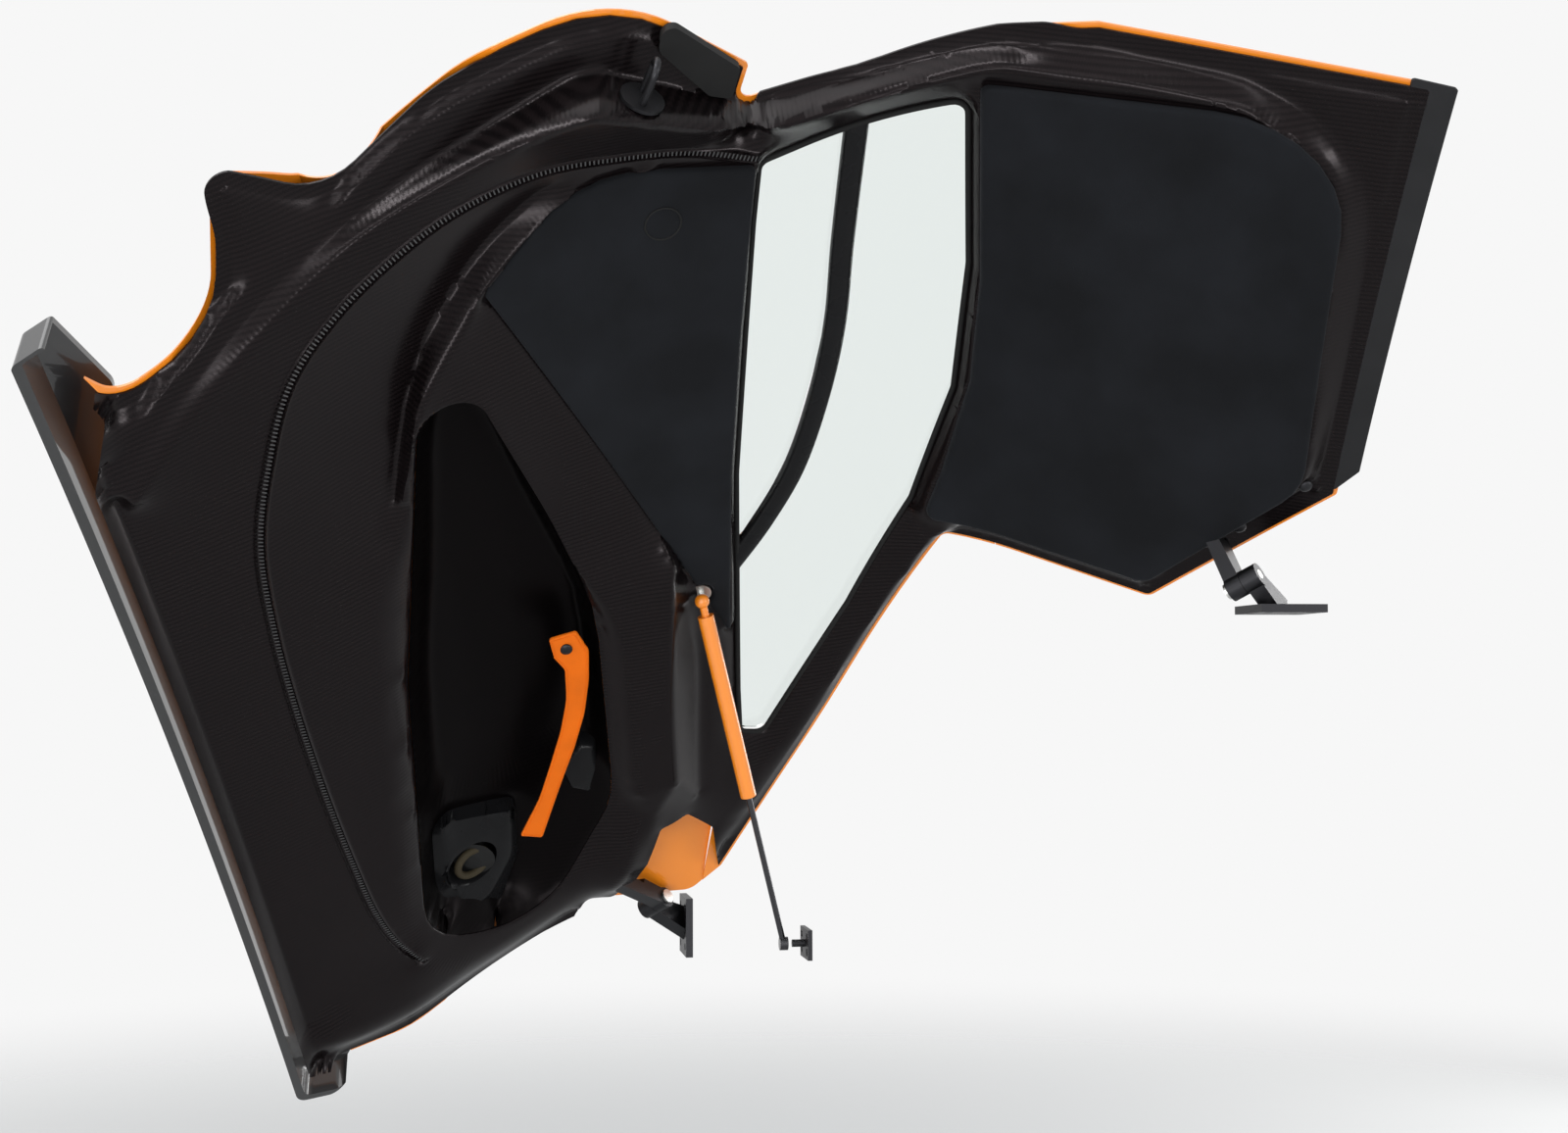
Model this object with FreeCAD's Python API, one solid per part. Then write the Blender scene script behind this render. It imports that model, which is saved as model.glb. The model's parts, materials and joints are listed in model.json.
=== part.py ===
"""Dihedral side door of a low two-seat sports car, left hand, standing open.

The door is drawn closed and flat to its own panel, in a door frame:
  u runs forward along the car, w runs down the door, h points out of the cabin.
Its surfaces are one side profile of lines and arcs, spun about a far axis that runs
along w, and its edges are rounded polygons cut through along h.
Everything on the door is then tilted into the car and swung open about the hinge axis.
The finished frame is the car's: +X forward, +Y out to the left, +Z up, in millimetres.
Its origin is the middle of the four bolts of the lower hinge bracket.
"""
import FreeCAD, Part
import math
import os

V = FreeCAD.Vector

# The hinge axis, from the lower pivot to the upper one, and how the door stands on it.
UPPER_PIVOT = V(-605.7, -671.7, 441.5)
OPEN_ANGLE = 60.0
PANEL_LEAN = 42.0

# The side profile of the door's reference surface: corners (w, h) and their arc radii.
PROFILE = [
    (-1010.0, -153.4, 0.0),
    (-430.0, 145.0, 350.0),
    (130.0, 12.0, 900.0),
    (540.0, -289.1, 0.0),
]
CROWN_RADIUS = 6000.0
CROWN_MIDDLE = -650.0
CROWN_HALF_LENGTH = 800.0

# The outer skin bulges off the reference surface: its profile and its shorter crown.
SKIN_PROFILE = [
    (-260.0, 98.0, 0.0),
    (-120.0, 122.0, 160.0),
    (170.0, 72.0, 380.0),
    (500.0, -262.0, 0.0),
]
SKIN_CROWN_RADIUS = 2400.0
INTAKE_RADIUS = 70.0
INTAKE_START = (-700.0, 120.0, 190.0)
INTAKE_END = (-1400.0, 215.0, -30.0)

# Walls and steps, measured square to the reference surface.
SKIN_WALL = 3.0
MOULDING_WALL = 3.0
LIP_WIDTH = 8.0
BASE_LEVEL = -3.5
TERRACE_LEVEL = -17.0
PLATEAU_LEVEL = -26.0
PAD_THICKNESS = 9.0
GLASS_LEVEL = 4.0
GLASS_WALL = 4.0
POCKET_FLOOR_LEVEL = 20.0
OPEN_SIDE = 160.0
DOME_FILL = 220.0
FLANGE_FILL = 60.0
CUT_START = -500.0
CUT_DEPTH = 700.0
DOOR_REAR = -1450.0
DOOR_SPAN = 1600.0
DOOR_FOOT = 700.0
DOOR_TOP = -1000.0

# Edges of the door and of what is on it: corners (w, u, corner radius).
DOOR_EDGE = [
    (462.0, -1218.0, 6.0),
    (412.0, -1128.0, 30.0),
    (322.0, -1146.0, 100.0),
    (281.0, -1316.0, 12.0),
    (193.0, -1238.0, 60.0),
    (30.0, -1338.0, 200.0),
    (-120.0, -1372.0, 150.0),
    (-252.0, -1256.0, 6.0),
    (-236.0, -1215.0, 10.0),
    (-370.0, -1224.0, 250.0),
    (-518.0, -1269.0, 20.0),
    (-615.0, -1286.0, 8.0),
    (-920.0, -1256.0, 4.0),
    (-896.0, -700.0, 10.0),
    (-704.0, -482.0, 14.0),
    (-455.0, -534.0, 12.0),
    (-290.0, -270.0, 2000.0),
    (-108.0, -26.0, 16.0),
    (-60.0, 2.0, 30.0),
    (108.0, -34.0, 300.0),
    (335.0, -20.0, 100.0),
    (424.0, -58.0, 20.0),
    (462.0, -62.0, 4.0),
]
WINDOW = [
    (-253.0, -1137.0, 14.0),
    (-489.0, -1184.0, 16.0),
    (-491.0, -675.0, 890.0),
    (-190.0, -256.0, 16.0),
    (-157.0, -270.0, 12.0),
    (-181.0, -706.0, 6500.0),
]
TERRACE = [
    (440.0, -1046.0, 16.0),
    (262.0, -1196.0, 400.0),
    (110.0, -1280.0, 250.0),
    (-10.0, -1320.0, 200.0),
    (-150.0, -1334.0, 46.0),
    (-214.0, -1221.0, 46.0),
    (-370.0, -1216.0, 200.0),
    (-520.0, -1260.0, 30.0),
    (-690.0, -1240.0, 100.0),
    (-790.0, -1232.0, 60.0),
    (-880.0, -1136.0, 60.0),
    (-884.0, -740.0, 60.0),
    (-700.0, -508.0, 20.0),
    (-462.0, -550.0, 14.0),
    (-300.0, -300.0, 2000.0),
    (-118.0, -60.0, 14.0),
    (150.0, -56.0, 200.0),
    (380.0, -66.0, 60.0),
    (438.0, -88.0, 30.0),
]
PLATEAU = [
    (430.0, -1014.0, 20.0),
    (262.0, -1146.0, 400.0),
    (140.0, -1210.0, 250.0),
    (20.0, -1250.0, 160.0),
    (-84.0, -1294.0, 40.0),
    (-214.0, -1214.0, 60.0),
    (-370.0, -1198.0, 200.0),
    (-510.0, -1240.0, 30.0),
    (-740.0, -1222.0, 80.0),
    (-856.0, -1126.0, 90.0),
    (-856.0, -744.0, 60.0),
    (-700.0, -534.0, 20.0),
    (-474.0, -570.0, 14.0),
    (-306.0, -322.0, 2000.0),
    (-134.0, -104.0, 20.0),
    (150.0, -72.0, 200.0),
    (380.0, -84.0, 60.0),
    (426.0, -112.0, 30.0),
]
FRONT_NOTCH = [
    (112.0, -44.0, 6.0),
    (84.0, -72.0, 12.0),
    (48.0, -56.0, 14.0),
    (20.0, -90.0, 20.0),
    (-24.0, -148.0, 30.0),
    (-90.0, -208.0, 10.0),
    (-112.0, -150.0, 10.0),
    (-112.0, 60.0, 4.0),
    (160.0, 60.0, 4.0),
]
POCKET = [
    (154.0, -950.0, 40.0),
    (234.0, -584.0, 900.0),
    (286.0, -170.0, 105.0),
    (148.0, -78.0, 90.0),
    (22.0, -252.0, 150.0),
    (2.0, -588.0, 400.0),
    (90.0, -960.0, 40.0),
]
DOOR_PAD = [
    (-250.0, -1146.0, 10.0),
    (-60.0, -1190.0, 150.0),
    (62.0, -1076.0, 12.0),
    (-96.0, -640.0, 90.0),
    (-162.0, -462.0, 4.0),
    (-182.0, -720.0, 5000.0),
]
ROOF_PAD = [
    (-496.0, -1212.0, 10.0),
    (-498.0, -800.0, 900.0),
    (-425.0, -583.0, 16.0),
    (-690.0, -530.0, 24.0),
    (-850.0, -722.0, 90.0),
    (-850.0, -1212.0, 130.0),
]
SPEAKER = [
    (262.0, -330.0, 10.0),
    (142.0, -292.0, 12.0),
    (160.0, -180.0, 60.0),
    (214.0, -104.0, 34.0),
    (268.0, -160.0, 60.0),
]
DIVIDER_PATH = [
    (-366.0, -1160.0, 0.0),
    (-327.0, -870.0, 600.0),
    (-266.0, -680.0, 400.0),
    (-176.0, -560.0, 0.0),
]
DIVIDER_WIDTH = 24.0
DIVIDER_IN = 12.0
DIVIDER_OUT = 2.0
WINDOW_REBATE = 10.0
ROOF_BELT = -520.0
GUTTER = [
    (-898.0, -1262.0, 3.0),
    (-938.0, -1256.0, 3.0),
    (-914.0, -742.0, 6.0),
    (-886.0, -700.0, 4.0),
]
BLADE = [
    (476.0, -1216.0, 6.0),
    (476.0, -40.0, 24.0),
    (424.0, -2.0, 18.0),
    (404.0, -50.0, 10.0),
    (452.0, -80.0, 6.0),
    (450.0, -1045.0, 30.0),
    (420.0, -1120.0, 30.0),
    (448.0, -1222.0, 4.0),
]
BLADE_IN = -9.0
BLADE_OUT = 34.0
STRAP = [
    (66.0, -560.0, 4.0),
    (30.0, -560.0, 4.0),
    (24.0, -480.0, 120.0),
    (124.0, -246.0, 4.0),
    (149.0, -265.0, 4.0),
    (56.0, -470.0, 120.0),
]
STRAP_LEVEL = -40.0
STRAP_THICKNESS = 2.5
END_PAD = [
    (-168.0, -1338.0, 12.0),
    (-242.0, -1262.0, 6.0),
    (-230.0, -1228.0, 6.0),
    (-206.0, -1238.0, 14.0),
    (-158.0, -1304.0, 14.0),
]
END_PAD_LEVEL = -18.0

# The forms that swell out of the tray. A ridge is a row of stations along its crest:
# (w, u, width outward, width inward, height of the crest above the reference surface).
SHOULDER = [
    (330.0, -1098.0, 8.0, 40.0, 29.0),
    (270.0, -1140.0, 8.0, 50.0, 35.0),
    (194.0, -1185.0, 9.0, 58.0, 38.0),
    (110.0, -1222.0, 10.0, 58.0, 46.0),
    (30.0, -1250.0, 10.0, 50.0, 58.0),
    (-35.0, -1276.0, 9.0, 54.0, 80.0),
    (-90.0, -1287.0, 9.0, 74.0, 90.0),
    (-150.0, -1258.0, 9.0, 56.0, 80.0),
    (-207.0, -1226.0, 8.0, 56.0, 68.0),
    (-300.0, -1203.0, 10.0, 44.0, 56.0),
    (-400.0, -1212.0, 12.0, 40.0, 46.0),
    (-480.0, -1232.0, 12.0, 40.0, 39.0),
    (-540.0, -1234.0, 10.0, 30.0, 29.0),
]
BOWL_RIDGE = [
    (-40.0, -1170.0, 26.0, 16.0, 38.0),
    (25.0, -1141.0, 34.0, 20.0, 47.0),
    (83.0, -1083.0, 45.0, 24.0, 50.0),
    (132.0, -1014.0, 55.0, 28.0, 51.0),
    (167.0, -934.0, 70.0, 30.0, 50.0),
    (196.0, -810.0, 80.0, 30.0, 48.0),
    (228.0, -637.0, 80.0, 30.0, 46.0),
    (259.0, -438.0, 60.0, 24.0, 43.0),
    (284.0, -300.0, 40.0, 20.0, 38.0),
    (298.0, -215.0, 25.0, 16.0, 31.0),
]
HINGE_FAIRING = [
    (44.0, -244.0, 26.0, 26.0, 32.0),
    (26.0, -212.0, 40.0, 40.0, 44.0),
    (28.0, -160.0, 44.0, 44.0, 44.0),
    (44.0, -110.0, 40.0, 40.0, 36.0),
    (62.0, -80.0, 30.0, 30.0, 29.0),
]
# The armrest, as sections across it: u, then (w, height) of its belt side foot and edge,
# and of its brow and foot on the pocket side.
ARMREST = [
    (-780.0, -38.0, (-34.0, 30.0), (24.0, 33.0), 56.0),
    (-690.0, -74.0, (-66.0, 46.0), (22.0, 44.0), 44.0),
    (-640.0, -92.0, (-86.0, 62.0), (8.0, 50.0), 26.0),
    (-584.0, -112.0, (-94.0, 72.0), (-8.0, 55.0), 10.0),
    (-491.0, -118.0, (-84.0, 74.0), (-18.0, 61.0), 3.0),
    (-386.0, -112.0, (-73.0, 73.0), (-12.0, 63.0), 11.0),
    (-300.0, -103.0, (-66.0, 71.0), (-6.0, 62.0), 22.0),
    (-262.0, -98.0, (-63.0, 69.0), (-12.0, 63.0), 23.0),
    (-215.0, -92.0, (-72.0, 46.0), (-34.0, 58.0), 16.0),
    (-168.0, -74.0, (-60.0, 34.0), (-26.0, 46.0), 8.0),
]
RIDGE_ROOT = 8.0
RIDGE_TOP = 5.0
STRIKER_W = -133.0
STRIKER_HEIGHT = 50.0
STRIKER_RADIUS = 24.0
STRIKER_THICKNESS = 4.0
LOOP_RADIUS = 12.0
LOOP_BAR = 4.0
LOOP_HEIGHT = 44.0
SEAT_WALL = 6.0
SPEAKER_CENTRE = (217.0, -225.0)
SPEAKER_RADIUS = 30.0
SPEAKER_HEIGHT = 22.0
SPEAKER_RECESS = 3.0
CONE_DEPTH = 5.0
GAP = 0.5

# The hinges: a lug on the car carries the pin, and an eye on the door turns on it.
PIN_RADIUS = 6.0
PIN_PLAY = 0.05
PIN_HEAD = 4.0
PIN_HEAD_RIM = 4.0
ROOT_TRIM = 7.0
LUG_LENGTH = 22.0
EYE_LENGTH = 20.0
EYE_GAP = 0.5
EYE_RADIUS = 15.0
ARM_END = (34.0, 16.0)
NECK_END = (44.0, 20.0)
LOWER_ANCHOR = V(-112.0, 52.0, -24.0)
UPPER_ANCHOR = V(-614.0, -768.0, -50.0)
LOWER_REACH = V(44.0, -62.0, -34.0)
UPPER_REACH = V(16.0, -42.0, -42.0)
PLATE_SIZE = (84.0, 84.0, 10.0)
BOLT_SPACING = (56.0, 56.0)
BOLT_HOLE = 5.25

# The gas strut: its upper ball on the door (u, w), and its foot on the car.
STRUT_TOP = (-547.0, -130.0)
STRUT_TOP_LEVEL = -46.0
STUD_BASE = 13.0
STUD_BASE_HEIGHT = 5.0
STUD_RADIUS = 4.0
STRUT_FOOT = V(-227.0, -157.0, -30.0)
STRUT_RADIUS = 10.5
STRUT_TUBE = 273.0
STRUT_NECK = 20.0
STRUT_NECK_RADIUS = 5.0
SOCKET_WALL = 3.5
CUP_DEPTH = 14.0
ROD_RADIUS = 4.0
ROD_PLAY = 0.05
STRUT_ROD = 240.0
ROD_TOP_CLOSED = 60.0
ROD_EYE_RADIUS = 9.0
ROD_EYE_LENGTH = 11.0
BALL_RADIUS = 6.0
FOOT_STANDOFF = 34.0
FOOT_STUD_RADIUS = 5.0
FOOT_CLEARANCE = 6.0
FOOT_PLATE = (60.0, 40.0, 6.0)
FOOT_BOLTS = (40.0, 20.0)
SKIN_BELT = [(-262.0, -1300.0), (-172.0, -440.0), (-130.0, -200.0), (-60.0, 60.0)]


def profile_edges(corners, offset):
    """Lines and arcs of a side profile in the plane u = 0, moved out by offset."""
    moved = offset_polygon([(c[0], c[1]) for c in corners], offset)
    edges = []
    start = moved[0]
    for i in range(1, len(corners) - 1):
        radius = corners[i][2] + offset
        first, middle, last = corner_arc(moved[i - 1], moved[i], moved[i + 1], radius)
        edges.append(Part.LineSegment(yz(start), yz(first)).toShape())
        edges.append(Part.Arc(yz(first), yz(middle), yz(last)).toShape())
        start = last
    edges.append(Part.LineSegment(yz(start), yz(moved[-1])).toShape())
    return edges, moved[0], moved[-1]


def yz(point):
    return V(0.0, point[0], point[1])


def offset_polygon(points, offset):
    """Move an open chain of lines sideways by offset, to the +h side."""
    normals = []
    for a, b in zip(points, points[1:]):
        length = math.hypot(b[0] - a[0], b[1] - a[1])
        normals.append((-(b[1] - a[1]) / length, (b[0] - a[0]) / length))
    moved = []
    for i, point in enumerate(points):
        before = normals[max(i - 1, 0)]
        after = normals[min(i, len(normals) - 1)]
        reach = offset / (1.0 + before[0] * after[0] + before[1] * after[1])
        moved.append((point[0] + reach * (before[0] + after[0]),
                      point[1] + reach * (before[1] + after[1])))
    return moved


def corner_arc(a, b, c, radius):
    """Start, middle and end of the arc that rounds the corner b between a and c."""
    to_a = math.atan2(a[1] - b[1], a[0] - b[0])
    to_c = math.atan2(c[1] - b[1], c[0] - b[0])
    half = (to_c - to_a + math.pi) % (2.0 * math.pi) - math.pi
    half = half / 2.0
    tangent = radius / math.tan(abs(half))
    first = (b[0] + tangent * math.cos(to_a), b[1] + tangent * math.sin(to_a))
    last = (b[0] + tangent * math.cos(to_c), b[1] + tangent * math.sin(to_c))
    reach = radius / math.sin(abs(half)) - radius
    middle = (b[0] + reach * math.cos(to_a + half), b[1] + reach * math.sin(to_a + half))
    return first, middle, last


def shell(inner, outer, corners=PROFILE, crown=CROWN_RADIUS):
    """The layer between two offsets of a side profile, spun about the far crown axis."""
    low, low_start, low_end = profile_edges(corners, inner)
    high, high_start, high_end = profile_edges(corners, outer)
    rear = Part.LineSegment(yz(low_start), yz(high_start)).toShape()
    front = Part.LineSegment(yz(high_end), yz(low_end)).toShape()
    face = Part.Face(Part.Wire(Part.__sortEdges__(low + high + [rear, front])))
    half = math.degrees(math.asin(CROWN_HALF_LENGTH / crown))
    centre = V(0.0, 0.0, -crown)
    face.rotate(centre, V(0, 1, 0), -half)
    body = face.revolve(centre, V(0, 1, 0), 2.0 * half)
    body.translate(V(CROWN_MIDDLE, 0.0, 0.0))
    return body


def closed_edges(corners, height):
    """A rounded polygon (w, u, radius) as edges at one height."""
    points = [(c[1], c[0]) for c in corners]
    count = len(points)
    arcs = []
    for i, corner in enumerate(corners):
        arcs.append(corner_arc(points[i - 1], points[i], points[(i + 1) % count], corner[2]))
    edges = []
    for i, (first, middle, last) in enumerate(arcs):
        edges.append(Part.Arc(*[V(p[0], p[1], height) for p in (first, middle, last)]).toShape())
        following = arcs[(i + 1) % count][0]
        a, b = V(last[0], last[1], height), V(following[0], following[1], height)
        if (b - a).Length > 1e-4:
            edges.append(Part.LineSegment(a, b).toShape())
    return edges


def inset(corners, distance):
    """The same polygon drawn in by distance, with its corner radii to match."""
    count = len(corners)
    area = sum(corners[i - 1][0] * corners[i][1] - corners[i][0] * corners[i - 1][1]
               for i in range(count))
    side = 1.0 if area > 0 else -1.0
    result = []
    for i, (w, u, radius) in enumerate(corners):
        before, after = corners[i - 1], corners[(i + 1) % count]
        n1 = inward(before, corners[i], side)
        n2 = inward(corners[i], after, side)
        reach = distance / (1.0 + n1[0] * n2[0] + n1[1] * n2[1])
        turn = (n1[0] * n2[1] - n1[1] * n2[0]) * side
        fitted = radius - distance if turn > 0 else radius + distance
        result.append((w + reach * (n1[0] + n2[0]), u + reach * (n1[1] + n2[1]), max(fitted, 1.0)))
    return result


def inward(a, b, side):
    length = math.hypot(b[0] - a[0], b[1] - a[1])
    return (-side * (b[1] - a[1]) / length, side * (b[0] - a[0]) / length)


def prism(corners, distance=0.0):
    """What lies inside a rounded polygon, right through the door along h."""
    edges = closed_edges(inset(corners, distance) if distance else corners, CUT_START)
    wire = Part.Wire(Part.__sortEdges__(edges))
    return Part.Face(wire).extrude(V(0, 0, CUT_DEPTH))


def surface_height(u, w, offset=0.0):
    """The h of the reference surface at one place of the door."""
    corners = offset_polygon([(c[0], c[1]) for c in PROFILE], offset)
    height = None
    for i in range(len(corners) - 1):
        (w1, h1), (w2, h2) = corners[i], corners[i + 1]
        if w1 <= w <= w2 or (height is None and i == len(corners) - 2):
            height = h1 + (h2 - h1) * (w - w1) / (w2 - w1)
    for i in range(1, len(corners) - 1):
        radius = PROFILE[i][2] + offset
        first, middle, last = corner_arc(corners[i - 1], corners[i], corners[i + 1], radius)
        if first[0] < w < last[0]:
            height = arc_height(first, middle, last, radius, w)
    return math.sqrt((CROWN_RADIUS + height) ** 2 - (u - CROWN_MIDDLE) ** 2) - CROWN_RADIUS


def arc_height(first, middle, last, radius, w):
    chord = ((first[0] + last[0]) / 2.0, (first[1] + last[1]) / 2.0)
    length = math.hypot(middle[0] - chord[0], middle[1] - chord[1])
    centre = (middle[0] - (middle[0] - chord[0]) * radius / length,
              middle[1] - (middle[1] - chord[1]) * radius / length)
    return centre[1] + math.sqrt(radius ** 2 - (w - centre[0]) ** 2)


def on_door(u, w, offset=0.0):
    return V(u, w, surface_height(u, w, offset))


def belt_side(below):
    """The part of the door below the belt line, or above it up to the roof joint."""
    far = DOOR_FOOT if below else ROOF_BELT
    points = [V(u, w, CUT_START) for w, u in SKIN_BELT]
    points += [V(SKIN_BELT[-1][1], far, CUT_START), V(DOOR_REAR, far, CUT_START)]
    points += [V(DOOR_REAR, SKIN_BELT[0][0], CUT_START)]
    return Part.Face(Part.makePolygon(points + [points[0]])).extrude(V(0, 0, CUT_DEPTH))


def band(w_low, w_high):
    corner = V(DOOR_REAR, w_low, CUT_START)
    return Part.makeBox(DOOR_SPAN, w_high - w_low, CUT_DEPTH, corner)


def intake(radius):
    start, end = V(*INTAKE_START), V(*INTAKE_END)
    return Part.makeCylinder(radius, (end - start).Length, start, end - start)


def crest_direction(stations, i):
    """Square to the crest at one station, in the door plane, pointing outward: (w, u)."""
    before, after = stations[max(i - 1, 0)], stations[min(i + 1, len(stations) - 1)]
    w, u = after[0] - before[0], after[1] - before[1]
    length = math.hypot(w, u)
    return -u / length, w / length


def between(stations, parts):
    """More stations along the same crest, on a smooth curve through the given ones."""
    finer = []
    last = len(stations) - 1
    for i in range(last):
        a, b = stations[max(i - 1, 0)], stations[i]
        c, d = stations[i + 1], stations[min(i + 2, last)]
        for k in range(parts):
            t = k / parts
            finer.append([q + 0.5 * t * (r - p + t * (2.0 * p - 5.0 * q + 4.0 * r - s
                                                      + t * (3.0 * (q - r) + s - p)))
                          for p, q, r, s in zip(a, b, c, d)])
    return finer + [stations[last]]


def ridge(stations, wall=0.0):
    """A ridge lofted through its stations; with a wall, the hollow inside it."""
    root = RIDGE_ROOT if not wall else -POCKET_FLOOR_LEVEL
    outer_foot, inner_foot = -TERRACE_LEVEL - 2.0 - wall, -PLATEAU_LEVEL - 2.0 - wall
    stations = between(stations, 2)
    wires = []
    for i, (w, u, outward, inward, height) in enumerate(stations):
        dw, du = crest_direction(stations, i)
        crown = height - 1.5 * wall
        top = RIDGE_TOP if not wall else wall + 0.5
        section = [(outward - wall, root), (outward - wall, outer_foot), (-wall, crown),
                   (-top, crown), (1.5 * wall - inward, inner_foot), (1.5 * wall - inward, root)]
        wires.append(section_wire([(w + dw * d, u + du * d, rise) for d, rise in section]))
    return Part.makeLoft(wires, True, True)


def section_wire(points):
    """A closed wire through places (w, u, height above the reference surface)."""
    ring = [on_door(u, w, -rise) for w, u, rise in points]
    return Part.makePolygon(ring + [ring[0]])


def armrest(wall=0.0):
    """The faceted armrest beside the pocket; with a wall, the hollow inside it."""
    root = RIDGE_ROOT if not wall else -POCKET_FLOOR_LEVEL
    foot = PLATEAU_LEVEL * -1.0 - 2.0 - wall
    wires = []
    for u, belt, edge, brow, side in ARMREST:
        section = [(belt + wall, root), (belt + wall, foot), (edge[0] + wall, edge[1] - wall),
                   (brow[0], brow[1] - wall), (side - wall, foot + 8.0), (side - wall, root)]
        wires.append(section_wire([(w, u, rise) for w, rise in section]))
    return Part.makeLoft(wires, True, True)


FORM = []


def raised_forms():
    """The forms that stand out of the tray, clear of the pads that lie beside them."""
    forms = [ridge(SHOULDER), ridge(BOWL_RIDGE), ridge(HINGE_FAIRING), armrest()]
    for pad in (DOOR_PAD, ROOF_PAD):
        clear = shell(-OPEN_SIDE, PLATEAU_LEVEL).common(prism(pad, -GAP))
        forms = [form.cut(clear) for form in forms]
    return forms


def raised_hollows():
    """The hollows inside the raised forms, a wall away from their faces and from the pads."""
    hollows = [ridge(SHOULDER, MOULDING_WALL), ridge(BOWL_RIDGE, MOULDING_WALL),
               ridge(HINGE_FAIRING, MOULDING_WALL), armrest(MOULDING_WALL)]
    for pad in (DOOR_PAD, ROOF_PAD):
        clear = shell(-OPEN_SIDE, PLATEAU_LEVEL + MOULDING_WALL)
        clear = clear.common(prism(pad, -GAP - MOULDING_WALL))
        hollows = [hollow.cut(clear) for hollow in hollows]
    return hollows


def tray_form():
    """The tray's face, filled far behind it: flange, terrace, raised face and raised forms."""
    if not FORM:
        form = shell(PLATEAU_LEVEL, OPEN_SIDE).common(prism(DOOR_EDGE))
        form = form.cut(shell(-OPEN_SIDE, TERRACE_LEVEL).cut(prism(PLATEAU)))
        form = form.cut(shell(-OPEN_SIDE, BASE_LEVEL).cut(prism(TERRACE)))
        for raised in raised_forms():
            form = form.fuse(raised)
        FORM.append(form)
    return FORM[0]


def latch_place():
    """The middle of the striker plate on the shoulder's outer wall, and where the wall faces."""
    steps = zip(SHOULDER, SHOULDER[1:])
    near, far = [pair for pair in steps if pair[0][0] >= STRIKER_W > pair[1][0]][0]
    share = (STRIKER_W - near[0]) / (far[0] - near[0])
    w, u, outward, inward, height = [a + (b - a) * share for a, b in zip(near, far)]
    slope = outward / (height + TERRACE_LEVEL)
    dw, du = crest_direction([near, far], 0)
    reach = slope * (height - STRIKER_HEIGHT)
    place = on_door(u + du * reach, w + dw * reach, -STRIKER_HEIGHT)
    return place, V(du, dw, -slope).normalize()


def inner_moulding():
    """The carbon tray that faces the cabin: flange, terrace and raised face, with the latch
    shoulder, the bowl's ridge and the armrest swelling out of it, and hollow behind."""
    back = BASE_LEVEL + MOULDING_WALL
    body = tray_form().common(prism(DOOR_EDGE, LIP_WIDTH)).cut(shell(back, 2.0 * OPEN_SIDE))
    window = prism(WINDOW, -MOULDING_WALL)
    for outline, level in ((PLATEAU, PLATEAU_LEVEL), (TERRACE, TERRACE_LEVEL)):
        hollow = shell(level + MOULDING_WALL, OPEN_SIDE).common(prism(outline, MOULDING_WALL))
        body = body.cut(hollow.cut(window))
    kept = prism(TERRACE, MOULDING_WALL).cut(window).cut(prism(POCKET, -MOULDING_WALL))
    for hollow in raised_hollows():
        body = body.cut(hollow.common(kept))
    place, outward = latch_place()
    seat = STRIKER_RADIUS + 2.0
    body = body.fuse(Part.makeCylinder(seat, SEAT_WALL, place - outward * SEAT_WALL, outward))
    body = body.cut(Part.makeCylinder(seat, 4.0 * SEAT_WALL, place, outward))
    for opening in (prism(WINDOW), prism(POCKET), prism(BLADE, -GAP), prism(FRONT_NOTCH)):
        body = body.cut(opening)
    return biggest(body, 0)


def map_pocket():
    """The deep bowl behind the pocket hole."""
    outer = shell(PLATEAU_LEVEL, POCKET_FLOOR_LEVEL).common(prism(POCKET, 0.3))
    inner = shell(PLATEAU_LEVEL - 20.0, POCKET_FLOOR_LEVEL - MOULDING_WALL)
    return outer.cut(inner.common(prism(POCKET, MOULDING_WALL)))


def outer_skin():
    """The painted lower panel: a bulged dome that runs out in a flange, with its air channel."""
    flange = shell(0.0, SKIN_WALL)
    dome = shell(-DOME_FILL, 0.0, SKIN_PROFILE, SKIN_CROWN_RADIUS)
    dome_inside = shell(-DOME_FILL - 10.0, -SKIN_WALL, SKIN_PROFILE, SKIN_CROWN_RADIUS)
    outside = dome.cut(intake(INTAKE_RADIUS)).fuse(flange)
    inside = dome_inside.cut(intake(INTAKE_RADIUS + SKIN_WALL)).fuse(shell(-FLANGE_FILL, 0.0))
    skin = outside.cut(inside)
    skin = skin.common(prism(DOOR_EDGE)).common(belt_side(True))
    return skin.cut(prism(BLADE, -GAP)).cut(prism(WINDOW, -GAP))


def pillar_skin():
    """The painted cover along the windscreen pillar and round the window."""
    cover = shell(0.0, SKIN_WALL).common(prism(DOOR_EDGE)).cut(belt_side(True))
    return cover.cut(prism(WINDOW, -WINDOW_REBATE)).cut(band(DOOR_TOP, ROOF_BELT))


def roof_skin():
    cover = shell(0.0, SKIN_WALL).common(prism(DOOR_EDGE))
    return cover.common(band(DOOR_TOP, ROOF_BELT - 2.0 * GAP))


def frame_pad(corners, level, thickness, clearance=0.0):
    """A flat pad that lies on the moulding, from level in towards the cabin."""
    return shell(level - thickness, level).common(prism(corners, clearance))


def door_pad():
    """The large suede pad, notched round the foot of the gas strut's stud."""
    u, w = STRUT_TOP
    start = on_door(u, w) - V(0, 0, OPEN_SIDE)
    notch = Part.makeCylinder(STUD_BASE + 2.0, 2.0 * OPEN_SIDE, start, V(0, 0, 1))
    return frame_pad(DOOR_PAD, PLATEAU_LEVEL, PAD_THICKNESS).cut(notch)


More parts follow.
